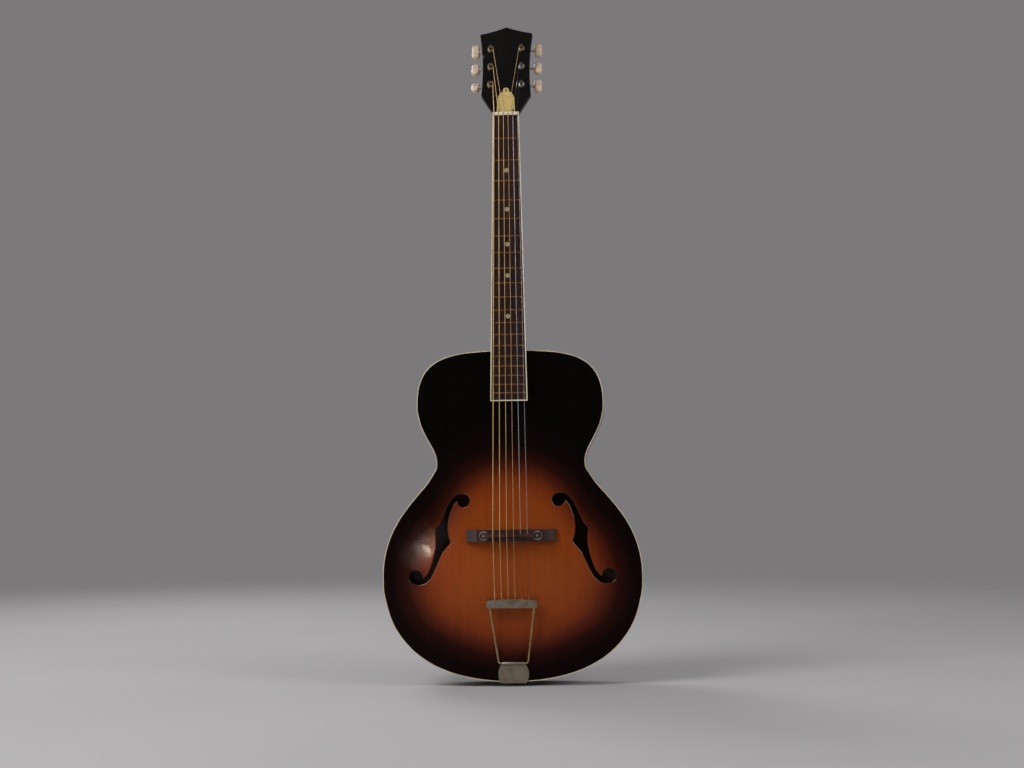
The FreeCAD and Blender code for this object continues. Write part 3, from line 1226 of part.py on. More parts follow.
def rounded_path(points, radii):
    """Straight runs through points, joined by tangent arcs of given radii at the inner points."""
    edges = []
    start = points[0]
    for before, corner, after, radius in zip(points, points[1:], points[2:], radii):
        came = (before - corner).normalize()
        goes = (after - corner).normalize()
        half = came.getAngle(goes) / 2
        trim = radius / math.tan(half)
        first = corner + came * trim
        last = corner + goes * trim
        bisector = (came + goes).normalize()
        middle = corner + bisector * (radius / math.sin(half) - radius)
        edges.append(Part.makeLine(start, first))
        edges.append(Part.Arc(first, middle, last).toShape())
        start = last
    edges.append(Part.makeLine(start, points[-1]))
    return edges


def tube(edges, diameter):
    """Round bar along a chain of tangent edges."""
    first = edges[0]
    start = first.valueAt(first.FirstParameter)
    ring = Part.Wire(Part.makeCircle(diameter / 2, start, first.tangentAt(first.FirstParameter)))
    return Part.Wire(edges).makePipeShell([ring], True, False)


def make_tailpiece():
    """Hinged wire tailpiece, its bracket and screws, and the end pin."""
    place = hinge_place()
    hinge = place.Base
    reach = CROSSBAR_RISE + WIRE_END_DEPTH
    foot = WIRE_FOOT_SPREAD / 2
    top = WIRE_TOP_SPREAD / 2
    corners = [Vector(-top, 0, reach), Vector(-foot, 0, 0), Vector(foot, 0, 0), Vector(top, 0, reach)]
    frame = tube(rounded_path(corners, [WIRE_BEND, WIRE_BEND]), WIRE_DIAMETER)

    low = CROSSBAR_RISE
    high = CROSSBAR_RISE + CROSSBAR_HEIGHT
    half = CROSSBAR_WIDTH / 2
    front = -CROSSBAR_DEPTH / 2
    back = CROSSBAR_DEPTH / 2
    wall = CROSSBAR_WALL
    hood = CROSSBAR_HOOD_WIDTH / 2
    bar = box(-half, half, front, back, low, high).cut(
        box(-half + wall, half - wall, front + wall, back + wall, low + wall, high - wall))
    swell = Part.Arc(Vector(-hood, 0, high), Vector(0, 0, high + CROSSBAR_HOOD_RISE), Vector(hood, 0, high))
    base_line = Part.makeLine(Vector(hood, 0, high), Vector(-hood, 0, high))
    visor = prism(Part.Wire([swell.toShape(), base_line]), front, front + wall)
    bar = fused([bar, visor])
    slots = []
    for number, diameter in enumerate(STRING_DIAMETERS):
        x = spread(TAIL_STRING_SPREAD, len(STRING_DIAMETERS), number)
        slot = diameter / 2 + CROSSBAR_SLOT_CLEARANCE
        slots.append(box(x - slot, x + slot, -slot, back + wall, high - 2 * wall, high + wall))
    crossbar = bar.cut(slots + [frame])

    outer = WIRE_DIAMETER + 2 * (RUNNING_CLEARANCE + HINGE_WALL)
    left = Vector(-HINGE_LENGTH / 2, hinge.y, hinge.z)
    right = Vector(HINGE_LENGTH / 2, hinge.y, hinge.z)
    barrel = rod(left, right, outer)
    bore = rod(left, right, WIRE_DIAMETER + 2 * RUNNING_CLEARANCE)
    reliefs = []
    for side, end in ((-1, left), (1, right)):
        reliefs.append(rod(end, Vector(side * WIRE_FOOT_SPREAD / 2, hinge.y, hinge.z), outer))
    plate_back = hinge.y + outer / 2
    plate_front = plate_back - BRACKET_THICKNESS
    floor = -BRACKET_SEAT_AT_TAIL - BRACKET_THICKNESS
    neck_half = HINGE_LENGTH / 2
    foot_half = BRACKET_FOOT_WIDTH / 2
    edges = [Part.makeLine(Vector(-neck_half, 0, hinge.z), Vector(neck_half, 0, hinge.z)),
             Part.makeLine(Vector(-foot_half, 0, floor), Vector(foot_half, 0, floor))]
    for side in (-1, 1):
        edges.append(spline([Vector(side * neck_half, 0, hinge.z),
                             Vector(side * BRACKET_LOBE_WIDTH / 2, 0, BRACKET_LOBE_HEIGHT),
                             Vector(side * foot_half, 0, floor)]))
    plate = prism(closed(edges), plate_front, plate_back)
    tab = box(-foot_half, foot_half, plate_front, BRACKET_TAB_REACH, floor, floor + BRACKET_THICKNESS)
    rounds = [e for e in tab.Edges if abs(e.tangentAt(e.FirstParameter).z) > 0.99 and e.CenterOfMass.y > 0]
    tab = tab.makeFillet(min(BRACKET_TAB_ROUND, foot_half - RUNNING_CLEARANCE), rounds)
    screws = tail_screws()
    pin_hole = rod(Vector(0, 0, floor - BRACKET_THICKNESS), Vector(0, 0, OVERRUN), PIN_STEM_DIAMETER)
    bracket = fused([plate, tab, barrel]).cut([bore, pin_hole] + reliefs + screws)

    collar = floor - PIN_COLLAR_LENGTH
    waist = collar - PIN_WAIST_LENGTH
    end = waist - PIN_HEAD_LENGTH
    stem_half = PIN_STEM_DIAMETER / 2 - PIN_FIT
    profile = polygon([Vector(0, 0, PIN_STEM_LENGTH), Vector(stem_half, 0, PIN_STEM_LENGTH),
                       Vector(stem_half, 0, floor),
                       Vector(PIN_COLLAR_DIAMETER / 2, 0, floor), Vector(PIN_COLLAR_DIAMETER / 2, 0, collar),
                       Vector(PIN_WAIST_DIAMETER / 2, 0, collar), Vector(PIN_WAIST_DIAMETER / 2, 0, waist),
                       Vector(PIN_HEAD_DIAMETER / 2, 0, waist),
                       Vector(PIN_HEAD_DIAMETER / 2, 0, end + PIN_HEAD_ROUND),
                       Vector(PIN_HEAD_DIAMETER / 2 - PIN_HEAD_ROUND, 0, end), Vector(0, 0, end)])
    pin = Part.Face(profile).revolve(Vector(0, 0, 0), Z_AXIS, 360)
    return {"tailpiece_frame": put(frame, place), "tailpiece_crossbar": put(crossbar, place),
            "tailpiece_bracket": bracket, "tailpiece_screws": group(screws), "end_pin": pin}


def biarc(start, leave, end, arrive):
    """Two arcs that leave one point and arrive at another along given directions."""
    chord = end - start
    both = leave + arrive
    spread_of_turn = 2 * (1 - leave.dot(arrive))
    root = math.sqrt(chord.dot(both) ** 2 + spread_of_turn * chord.dot(chord))
    reach = (root - chord.dot(both)) / spread_of_turn
    meet = (start + end + (leave - arrive) * reach) * 0.5
    edges = []
    for near, direction, far in ((start, leave, meet), (end, arrive * -1, meet)):
        line = far - near
        half = direction.getAngle(line)
        corner = near + direction * (line.Length / 2 / math.cos(half))
        middle = (near + far) * 0.5
        middle = middle + (corner - middle) * (math.tan(half / 2) / math.tan(half))
        edges.append(Part.Arc(near, middle, far).toShape())
    return edges


def make_string(number):
    """One string from its ball end over saddle and nut to the winding on its post."""
    diameter = STRING_DIAMETERS[number]
    side, centre, radius, pitch, touch = winding_start(number)
    nut = NECK.multVec(nut_string(number))
    runs = [tail_string(number), saddle_string(number), nut, HEAD.multVec(touch)]
    edges = rounded_path(runs, [STRING_BEND, STRING_BEND])
    first = math.atan2(touch.z - centre.z, touch.x - centre.x)
    points = []
    tangents = []
    for quarter in range(WIND_QUARTERS[number] + 1):
        turn = first - side * quarter * math.pi / 2
        spot = Vector(centre.x + radius * math.cos(turn), touch.y + pitch * quarter / 4,
                      centre.z + radius * math.sin(turn))
        way = Vector(side * math.sin(turn), pitch / (2 * math.pi * radius), -side * math.cos(turn))
        points.append(HEAD.multVec(spot))
        tangents.append(HEAD.Rotation.multVec(way.normalize()))
    tangents[0] = (points[0] - nut).normalize()
    for near, leave, far, arrive in zip(points, tangents, points[1:], tangents[1:]):
        edges += biarc(near, leave, far, arrive)
    wire = Part.Wire(Part.__sortEdges__(edges))
    tube_solid = tube(wire.Edges, diameter)
    ball = Part.makeSphere(BALL_DIAMETER / 2, runs[0])
    print("string", number + 1, "winding gap %.2f" % winding_gap(edges, radius, diameter),
          "volume ratio %.4f" % (tube_solid.Volume / (math.pi * diameter ** 2 / 4 * wire.Length)))
    return tube_solid.fuse(ball).removeSplitter()


def winding_gap(edges, radius, diameter):
    """Least gap between one turn of a winding and the next, measured on points along it."""
    spots = []
    travelled = 0
    for edge in edges:
        count = max(2, int(edge.Length / (radius / 6)))
        for spot in edge.discretize(count)[1:]:
            travelled += edge.Length / (count - 1)
            spots.append((travelled, spot))
    spots = [item for item in spots if item[0] > travelled - 2 * math.pi * radius * max(WIND_QUARTERS) / 4]
    apart = math.pi * radius
    gaps = [(a[1] - b[1]).Length for a in spots for b in spots if b[0] - a[0] > apart]
    return min(gaps) - diameter


def make_strings():
    strings = [make_string(number) for number in range(len(STRING_DIAMETERS))]
    return {"wound_strings": group(strings[:WOUND_STRINGS]), "plain_strings": group(strings[WOUND_STRINGS:])}


def main():
    os.makedirs("parts", exist_ok=True)
    for maker in (make_body, make_neck, make_tuners, make_bridge, make_tailpiece, make_strings):
        for name, shape in maker().items():
            shape.exportStep(os.path.join("parts", name + ".step"))


if __name__ == "__main__":
    main()
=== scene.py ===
import json
import math

import bpy
from mathutils import Matrix, Vector


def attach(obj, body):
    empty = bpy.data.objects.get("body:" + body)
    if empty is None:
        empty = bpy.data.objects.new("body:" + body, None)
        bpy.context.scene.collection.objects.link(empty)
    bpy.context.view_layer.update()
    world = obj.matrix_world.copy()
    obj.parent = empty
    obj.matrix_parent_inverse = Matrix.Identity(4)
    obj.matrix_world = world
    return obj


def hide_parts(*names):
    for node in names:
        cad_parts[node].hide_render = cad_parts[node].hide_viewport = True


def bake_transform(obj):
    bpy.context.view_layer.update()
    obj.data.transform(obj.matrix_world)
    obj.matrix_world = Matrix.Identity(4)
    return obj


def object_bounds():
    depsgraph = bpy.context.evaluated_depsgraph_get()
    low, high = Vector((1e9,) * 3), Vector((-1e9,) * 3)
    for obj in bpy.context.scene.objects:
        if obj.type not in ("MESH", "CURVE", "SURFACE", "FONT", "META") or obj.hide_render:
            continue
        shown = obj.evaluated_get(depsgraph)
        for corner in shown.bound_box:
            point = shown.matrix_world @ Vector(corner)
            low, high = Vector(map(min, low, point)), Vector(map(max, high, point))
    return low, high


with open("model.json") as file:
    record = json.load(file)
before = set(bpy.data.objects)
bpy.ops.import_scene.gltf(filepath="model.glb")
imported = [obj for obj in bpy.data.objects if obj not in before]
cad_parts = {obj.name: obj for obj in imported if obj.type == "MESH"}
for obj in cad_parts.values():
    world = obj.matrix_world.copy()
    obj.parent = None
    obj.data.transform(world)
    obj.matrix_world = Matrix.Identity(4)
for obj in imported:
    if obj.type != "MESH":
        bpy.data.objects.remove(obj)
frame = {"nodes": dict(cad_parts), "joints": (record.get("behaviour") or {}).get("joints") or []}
cad_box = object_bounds()
nodes = frame["nodes"]
joints = {joint["name"]: joint for joint in frame["joints"]}
scene = bpy.context.scene
scene.view_settings.view_transform = "Standard"

MM = 0.001
WHITE = (1, 1, 1, 1)

# Lacquer: the span of noise that turns into roughness, and the ripple of the surface in metres

POLISH_LOW = 0.35
POLISH_HIGH = 0.7
RIPPLE_SCALE = 45.0
RIPPLE_DETAIL = 2.0
RIPPLE_STRENGTH = 0.12
RIPPLE_HEIGHT = 0.0012
TOP_EDGE_ROUND = 0.0009

# Sunbursts: height of the middle in metres, then radius in millimetres at degrees from straight up

BURST_REACH = 400
TOP_BURST_CENTRE = 0.185
TOP_BURST = ((0, 145), (30, 134), (55, 123), (80, 137), (95, 147), (120, 153), (145, 140), (180, 133))
BACK_BURST_CENTRE = 0.215
BACK_BURST = ((0, 210), (20, 190), (38, 150), (55, 142), (75, 148), (92, 156), (110, 162), (128, 164),
              (150, 160), (180, 156))


def tint(red, green, blue):
    """Linear colour of 0 to 255 screen values."""
    linear = []
    for value in (red, green, blue):
        share = value / 255
        linear.append(share / 12.92 if share <= 0.04045 else ((share + 0.055) / 1.055) ** 2.4)
    return (*linear, 1)


def darker(colour, share):
    """A colour with its light cut to a share."""
    return tuple(value * share for value in colour[:3]) + (1,)


class Paint:
    """A material with one principled surface and helpers for the nodes that feed it."""

    def __init__(self, name, roughness=0.5, metallic=0.0, level=0.5):
        self.material = bpy.data.materials.new(name)
        self.material.use_nodes = True
        self.tree = self.material.node_tree
        self.tree.nodes.clear()
        end = self.add("OutputMaterial")
        self.surface = self.add("BsdfPrincipled")
        self.tree.links.new(self.surface.outputs[0], end.inputs[0])
        self.set("Roughness", roughness)
        self.set("Metallic", metallic)
        self.set("Specular IOR Level", level)
        self.place = self.add("TexCoord").outputs["Object"]

    def add(self, kind, inputs=None, **settings):
        node = self.tree.nodes.new("ShaderNode" + kind)
        for key, value in settings.items():
            setattr(node, key, value)
        for key, value in (inputs or {}).items():
            self.feed(node.inputs[key], value)
        return node

    def feed(self, socket, value):
        if isinstance(value, bpy.types.NodeSocket):
            self.tree.links.new(value, socket)
        else:
            socket.default_value = value

    def set(self, socket, value):
        self.feed(self.surface.inputs[socket], value)

    def stretch(self, x, y, z):
        """Object place, multiplied axis by axis."""
        node = self.add("VectorMath", {0: self.place, 1: (x, y, z)}, operation="MULTIPLY")
        return node.outputs[0]

    def split(self, vector):
        return self.add("SeparateXYZ", {0: vector}).outputs

    def facing(self):
        """Y of the surface normal, from -1 facing the front to 1 facing the back."""
        return self.split(self.add("NewGeometry").outputs["Normal"])[1]

    def noise(self, vector, scale=1.0, detail=2.0, roughness=0.5, distortion=0.0):
        node = self.add("TexNoise", {"Vector": vector, "Scale": scale, "Detail": detail,
                                     "Roughness": roughness, "Distortion": distortion})
        return node.outputs[0]

    def drift(self, scale, amount):
        """Slow noise about zero, which makes a border uneven."""
        noise = self.noise(self.place, scale, 3.0)
        return self.maths("MULTIPLY", self.maths("SUBTRACT", noise, 0.5), amount)

    def ripple(self):
        """Height of the uneven surface of lacquer."""
        return self.noise(self.place, RIPPLE_SCALE, RIPPLE_DETAIL)

    def wave(self, vector, scale, distortion=0.0, direction="X", detail_scale=1.0):
        node = self.add("TexWave", {"Vector": vector, "Scale": scale, "Distortion": distortion,
                                    "Detail Scale": detail_scale}, bands_direction=direction)
        return node.outputs["Fac"]

    def maths(self, operation, *values):
        return self.add("Math", dict(enumerate(values)), operation=operation).outputs[0]

    def span(self, value, low, high, to_low=0.0, to_high=1.0):
        """A value eased from one range to another."""
        node = self.add("MapRange", {0: value, 1: low, 2: high, 3: to_low, 4: to_high},
                        interpolation_type="SMOOTHSTEP")
        return node.outputs[0]

    def polish(self, noise, smooth, rough):
        """Roughness that wanders between two values."""
        return self.span(noise, POLISH_LOW, POLISH_HIGH, smooth, rough)

    def mix(self, share, first, second, blend="MIX"):
        node = self.add("Mix", {0: share, 6: first, 7: second}, data_type="RGBA", blend_type=blend)
        return node.outputs[2]

    def ramp(self, share, stops):
        node = self.add("ValToRGB", {0: share})
        marks = node.color_ramp.elements
        while len(marks) < len(stops):
            marks.new(0.5)
        for mark, (place, colour) in zip(marks, stops):
            mark.position = place
            mark.color = colour
        return node.outputs[0]

    def bump(self, height, strength, distance, round_edges=0.0):
        node = self.add("Bump", {"Height": height, "Strength": strength, "Distance": distance})
        if round_edges:
            bevel = self.add("Bevel", {"Radius": round_edges}, samples=8)
            self.feed(node.inputs["Normal"], bevel.outputs[0])
        self.set("Normal", node.outputs[0])


def burst_place(paint, centre, points, wobble):
    """Place in a sunburst's colours: 0 in the middle, 0.5 where the colour is half way to the dark edge."""
    x, _, z = paint.split(paint.place)
    across = paint.maths("ABSOLUTE", x)
    up = paint.maths("SUBTRACT", z, centre)
    turn = paint.maths("DIVIDE", paint.maths("ARCTAN2", across, up), math.pi)
    curve = paint.add("FloatCurve", {1: turn})
    line = curve.mapping.curves[0]
    while len(line.points) < len(points):
        line.points.new(0.5, 0.5)
    for point, (degrees, radius) in zip(line.points, points):
        point.location = (degrees / 180, radius / BURST_REACH)
    curve.mapping.update()
    square = paint.maths("ADD", paint.maths("MULTIPLY", across, across), paint.maths("MULTIPLY", up, up))
    reach = paint.maths("SQRT", square)
    share = paint.maths("DIVIDE", reach, paint.maths("MULTIPLY", curve.outputs[0], BURST_REACH * MM))
    return paint.maths("MULTIPLY", paint.maths("ADD", share, paint.drift(14.0, wobble)), 0.5)


def lacquered_top():
    """Sunburst spruce under gloss lacquer, with a painted sheen on the ray flecks, unfinished wood inside
    darkened as painted shade, and dark cut edges at the f-holes.
    """
    p = Paint("lacquered_spruce", level=0.07)
    place = burst_place(p, TOP_BURST_CENTRE, TOP_BURST, 0.07)
    burst = p.ramp(place, [(0.20, tint(144, 67, 20)), (0.36, tint(134, 59, 17)), (0.43, tint(116, 47, 14)),
                           (0.49, tint(80, 29, 10)), (0.55, tint(42, 14, 7)), (0.63, tint(15, 7, 5)),
                           (0.78, tint(8, 6, 4))])
    fine = p.noise(p.stretch(760, 60, 7), 1.0, 3.0, 0.6, 0.25)
    broad = p.noise(p.stretch(90, 20, 1.6), 1.0, 3.0, 0.55)
    ray_flecks_and_sheen = p.noise(p.stretch(60, 20, 240), 1.0, 3.0, 0.6)
    grain = p.maths("ADD", p.maths("MULTIPLY", fine, 0.72), p.maths("MULTIPLY", broad, 0.28))
    shade = p.ramp(grain, [(0.32, (0.66, 0.60, 0.52, 1)), (0.5, WHITE), (0.68, (1.18, 1.22, 1.3, 1))])
    lacquer = p.mix(0.55, burst, shade, "MULTIPLY")
    # Ray flecks of the spruce, made lighter and cooler: a painted sheen on the real figure.
    painted_sheen = p.mix(1.0, lacquer, (1.5, 1.6, 1.7, 1), "MULTIPLY")
    lacquer = p.mix(p.span(ray_flecks_and_sheen, 0.5, 0.75, 0.0, 0.16), lacquer, painted_sheen)
    # Unfinished spruce inside, darker than the wood is, as painted shade of the closed body.
    bare_in_painted_shade = p.ramp(grain, [(0.3, tint(112, 80, 50)), (0.7, tint(140, 106, 70))])
    edge = p.ramp(fine, [(0.3, tint(26, 15, 9)), (0.7, tint(48, 28, 16))])
    facing = p.facing()
    colour = p.mix(p.span(facing, -0.6, -0.45), lacquer, edge)
    p.set("Base Color", p.mix(p.span(facing, 0.4, 0.6), colour, bare_in_painted_shade))
    smear = p.polish(p.noise(p.stretch(9, 9, 5), 1.0, 4.0, 0.6), 0.09, 0.13)
    p.set("Roughness", p.mix(p.span(facing, 0.2, 0.5), smear, (0.75, 0.75, 0.75, 1)))
    rim = p.maths("MINIMUM", p.span(facing, -0.97, -0.88), p.span(facing, -0.05, -0.3))
    gloss = p.span(place, 0.46, 0.58, 0.13, 0.04)
    p.set("Specular IOR Level", p.maths("ADD", p.maths("MULTIPLY", rim, 0.9), gloss))
    height = p.maths("ADD", p.ripple(), p.maths("MULTIPLY", fine, 0.05))
    p.bump(height, RIPPLE_STRENGTH, RIPPLE_HEIGHT, TOP_EDGE_ROUND)
    return p.material


def lacquered_back():
    """Flamed maple with a dark edge, under gloss lacquer, and unfinished inside, darkened as painted shade.
    """
    p = Paint("lacquered_maple", level=0.24)
    place = burst_place(p, BACK_BURST_CENTRE, BACK_BURST, 0.08)
    burst = p.ramp(place, [(0.20, tint(128, 62, 24)), (0.36, tint(112, 50, 18)), (0.43, tint(90, 38, 14)),
                           (0.49, tint(60, 24, 11)), (0.55, tint(36, 15, 9)), (0.63, tint(18, 10, 7)),
                           (0.78, tint(11, 8, 6))])
    flame = p.noise(p.stretch(9, 9, 85), 1.0, 3.0, 0.5, 0.9)
    pores = p.noise(p.stretch(700, 80, 25), 1.0, 2.0, 0.6)
    shade = p.ramp(flame, [(0.34, (0.6, 0.54, 0.48, 1)), (0.5, WHITE), (0.66, (1.3, 1.34, 1.36, 1))])
    wood = p.mix(0.7, burst, shade, "MULTIPLY")
    wood = p.mix(p.span(pores, 0.55, 0.75, 0.0, 0.35), wood, tint(40, 18, 9))
    # Unfinished maple inside, darker than the wood is, as painted shade of the closed body.
    bare_in_painted_shade = p.ramp(pores, [(0.3, tint(96, 68, 42)), (0.7, tint(120, 88, 56))])
    p.set("Base Color", p.mix(p.span(p.facing(), -0.2, -0.5), wood, bare_in_painted_shade))
    p.set("Roughness", p.polish(p.noise(p.stretch(9, 9, 5), 1.0, 4.0, 0.6), 0.11, 0.2))
    p.bump(p.ripple(), RIPPLE_STRENGTH, RIPPLE_HEIGHT)
    return p.material


def lacquered_side():
    """Maple rim, brown in the middle and dark towards both bindings."""
    p = Paint("lacquered_rim", level=0.24)
    _, y, z = p.split(p.place)
    edge = p.span(p.maths("ABSOLUTE", y), 0.004, 0.036)
    ends = p.span(p.maths("ABSOLUTE", p.maths("SUBTRACT", z, 0.20)), 0.10, 0.27)
    share = p.maths("MAXIMUM", edge, p.maths("MULTIPLY", ends, 0.85))
    share = p.maths("ADD", share, p.drift(16.0, 0.25))
    base = p.ramp(share, [(0.05, tint(88, 42, 18)), (0.4, tint(66, 29, 13)), (0.75, tint(30, 14, 8)),
                          (1.0, tint(13, 9, 6))])
    flame = p.wave(p.stretch(1, 0.25, 1), 15.0, 6.0, "DIAGONAL", 2.0)
    shade = p.ramp(flame, [(0.1, (0.68, 0.62, 0.58, 1)), (0.5, WHITE), (0.9, (1.24, 1.26, 1.26, 1))])
    p.set("Base Color", p.mix(0.65, base, shade, "MULTIPLY"))
    p.set("Roughness", p.polish(p.noise(p.place, 9.0, 4.0, 0.6), 0.12, 0.22))
    p.bump(p.ripple(), RIPPLE_STRENGTH, RIPPLE_HEIGHT)
    return p.material


def lacquered_neck():
    """Brown stained neck, dark towards the heel, the head and both flanks."""
    p = Paint("lacquered_neck", level=0.22)
    x, _, z = p.split(p.place)
    low = p.span(z, 0.62, 0.545)
    high = p.span(z, 0.80, 0.885)
    flank = p.span(p.maths("ABSOLUTE", x), 0.010, 0.024, 0.0, 0.6)
    dark = p.maths("MAXIMUM", p.maths("MAXIMUM", low, high), flank)
    base = p.ramp(p.maths("ADD", dark, p.drift(12.0, 0.3)),
                  [(0.0, tint(104, 54, 26)), (0.35, tint(76, 36, 17)), (0.7, tint(36, 17, 10)),
                   (1.0, tint(14, 9, 7))])
    grain = p.noise(p.stretch(420, 420, 10), 1.0, 3.0, 0.6, 0.4)
    shade = p.ramp(grain, [(0.3, (0.62, 0.56, 0.5, 1)), (0.5, WHITE), (0.7, (1.2, 1.2, 1.2, 1))])
    p.set("Base Color", p.mix(0.75, base, shade, "MULTIPLY"))
    p.set("Roughness", p.polish(p.noise(p.place, 20.0, 4.0, 0.6), 0.16, 0.3))
    p.bump(p.noise(p.place, 60.0, 3.0), 0.12, 0.001)
    return p.material


def black_lacquer():
    """Hazy black lacquer of the head's face."""
    p = Paint("black_lacquer", level=0.22)
    haze = p.noise(p.stretch(30, 30, 14), 1.0, 4.0, 0.6)
    p.set("Base Color", p.ramp(haze, [(0.3, tint(8, 7, 6)), (0.7, tint(18, 14, 11))]))
    p.set("Roughness", p.polish(p.noise(p.place, 40.0, 5.0, 0.65), 0.09, 0.2))
    p.bump(p.noise(p.place, 70.0, 2.0), 0.1, 0.001)
    return p.material


def celluloid(name, pale, deep, streak_place, roughness):
    """Aged cream celluloid with soft streaks and a little grime."""
    p = Paint(name)
    streaks = p.noise(p.stretch(*streak_place), 1.0, 3.0, 0.55, 0.8)
    colour = p.ramp(streaks, [(0.3, deep), (0.55, pale), (0.75, pale)])
    grime = p.span(p.noise(p.place, 90.0, 5.0, 0.7), 0.56, 0.74, 0.0, 0.45)
    p.set("Base Color", p.mix(grime, colour, darker(deep, 0.45)))
    p.set("Roughness", p.polish(p.noise(p.place, 120.0, 3.0), roughness, roughness + 0.14))
    p.set("Subsurface Weight", 0.12)
    p.set("Subsurface Radius", (0.004, 0.003, 0.0015))
    p.set("Subsurface Scale", 0.4)
    p.bump(p.noise(p.place, 260.0, 3.0), 0.06, 0.0006)
    return p.material


def rosewood(name, pale, mid, dark, roughness, level):
    """Open-pored dark wood with streaks along Z."""
    p = Paint(name, level=level)
    figure = p.noise(p.stretch(150, 150, 6), 1.0, 4.0, 0.6, 0.6)
    colour = p.ramp(figure, [(0.28, dark), (0.5, mid), (0.74, pale)])
    pores = p.noise(p.stretch(1500, 1500, 55), 1.0, 2.0, 0.6)
    p.set("Base Color", p.mix(p.span(pores, 0.58, 0.7, 0.0, 0.7), colour, darker(dark, 0.35)))
    wear = p.noise(p.stretch(60, 60, 10), 1.0, 3.0)
    p.set("Roughness", p.span(wear, 0.3, 0.7, roughness, roughness + 0.15))
    p.bump(pores, 0.25, -0.0003)
    return p.material


def metal(name, pale, deep, roughness, spot_scale=160.0, brushed=(400.0, 400.0, 400.0)):
    """Plated metal with tarnish in patches and fine marks in its polish."""
    p = Paint(name, metallic=1.0)
    patches = p.noise(p.place, spot_scale, 5.0, 0.65)
    marks = p.noise(p.stretch(*brushed), 1.0, 3.0, 0.6)
    colour = p.ramp(patches, [(0.34, deep), (0.56, pale), (0.8, pale)])
    p.set("Base Color", p.mix(p.span(marks, 0.55, 0.75, 0.0, 0.35), colour, deep))
    wear = p.maths("ADD", p.maths("MULTIPLY", patches, -0.22), p.maths("MULTIPLY", marks, 0.14))
    p.set("Roughness", p.maths("ADD", wear, roughness + 0.05))
    p.bump(marks, 0.08, 0.0003)
    return p.material


def pearl():
    """Mother-of-pearl dot with cloudy cream and green."""
    p = Paint("pearl")
    cloud = p.noise(p.stretch(320, 320, 210), 1.0, 3.0, 0.6, 1.4)
    p.set("Base Color", p.ramp(cloud, [(0.28, tint(96, 96, 70)), (0.45, tint(170, 160, 120)),
                                       (0.58, tint(142, 148, 112)), (0.75, tint(206, 196, 160))]))
    p.set("Roughness", p.span(cloud, 0.3, 0.7, 0.12, 0.3))
    p.bump(cloud, 0.08, 0.0004)
    return p.material


def bare_wood(name, pale, deep):
    """Unfinished wood with its grain along Z."""
    p = Paint(name, roughness=0.75)
    grain = p.noise(p.stretch(500, 500, 14), 1.0, 3.0, 0.6, 0.3)
    p.set("Base Color", p.ramp(grain, [(0.3, deep), (0.7, pale)]))
    p.bump(grain, 0.15, 0.0005)
    return p.material


def wound_wire():
    """Bronze wrap wire laid round the string, turn by turn, with painted shade in the grooves between
    turns.
    """
    p = Paint("bronze_winding", metallic=0.75)
    turns = p.wave(p.stretch(0, 0.35, 1), WAVE_LENGTH / WRAP_PITCH, 0.0, "Z")
    dull = p.noise(p.stretch(80, 80, 45), 1.0, 4.0, 0.6)
    colour = p.ramp(dull, [(0.3, tint(190, 154, 102)), (0.6, tint(220, 188, 134)),
                           (0.8, tint(232, 204, 156))])
    # Darker bronze in the troughs of the turns: painted shade in the grooves.
    p.set("Base Color", p.mix(p.span(turns, 0.3, 0.0, 0.0, 0.4), colour, tint(110, 78, 44)))
    p.set("Roughness", p.span(dull, 0.3, 0.7, 0.5, 0.4))
    p.bump(turns, 0.3, 0.0002)
    return p.material


def plain_wire():
    """Plain steel wire, with a painted highlight over the board and at its twisted and wound ends, and a
    painted dark reflection elsewhere.
    """
    p = Paint("plain_wire", metallic=1.0)
    z = p.split(p.place)[2]
    twisted = p.span(z, (TAIL_HEIGHT + TWIST_LENGTH) * MM, TAIL_HEIGHT * MM)
    sounding = p.maths("MINIMUM", p.span(z, SADDLE_HEIGHT * MM, (SADDLE_HEIGHT + WIRE_FADE) * MM),
                       p.span(z, NUT_HEIGHT * MM, (NUT_HEIGHT - WIRE_FADE) * MM))
    painted_glint_share = p.maths("MAXIMUM", twisted, sounding)
    for name in TUNERS[WOUND_COUNT:]:
        rise = p.maths("SUBTRACT", z, joints["tuner_" + name + "_post"]["pos_m"][2])
        wrapped = p.span(p.maths("ABSOLUTE", rise), 2 * POST_REACH * MM, POST_REACH * MM)
        painted_glint_share = p.maths("MAXIMUM", painted_glint_share, wrapped)
    # Pale where the painted highlight goes, dark grey elsewhere as a painted dark reflection.
    p.set("Base Color", p.mix(painted_glint_share, tint(84, 76, 70), tint(236, 236, 234)))
    p.set("Roughness", p.polish(p.noise(p.stretch(200, 200, 4), 1.0, 3.0, 0.6), 0.3, 0.4))
    return p.material


def dress(material, *names):
    """Give CAD nodes a material in every slot."""
    for name in names:
        data = nodes[name].data
        data.materials.clear()
        data.materials.append(material)


WELD_REACH = 0.000002
EDGE_SEGMENTS = 2
EDGE_ANGLE = math.radians(50)
WORN_EDGE = 0.0004
FINE_EDGE = 0.0002


def soften(width, *names):
    """Rounded edges on CAD nodes: their split faces are welded, then bevelled."""
    for name in names:
        piece = nodes[name]
        weld = piece.modifiers.new("weld", "WELD")
        weld.merge_threshold = WELD_REACH
        bevel = piece.modifiers.new("round", "BEVEL")
        bevel.width = width
        bevel.segments = EDGE_SEGMENTS
        bevel.limit_method = "ANGLE"
        bevel.angle_limit = EDGE_ANGLE
        bevel.harden_normals = True
        bevel.miter_outer = "MITER_ARC"


# Materials

TUNERS = [str(number) for number in range(1, 7)]

nickel = metal("aged_nickel", tint(176, 170, 160), tint(108, 98, 84), 0.3)
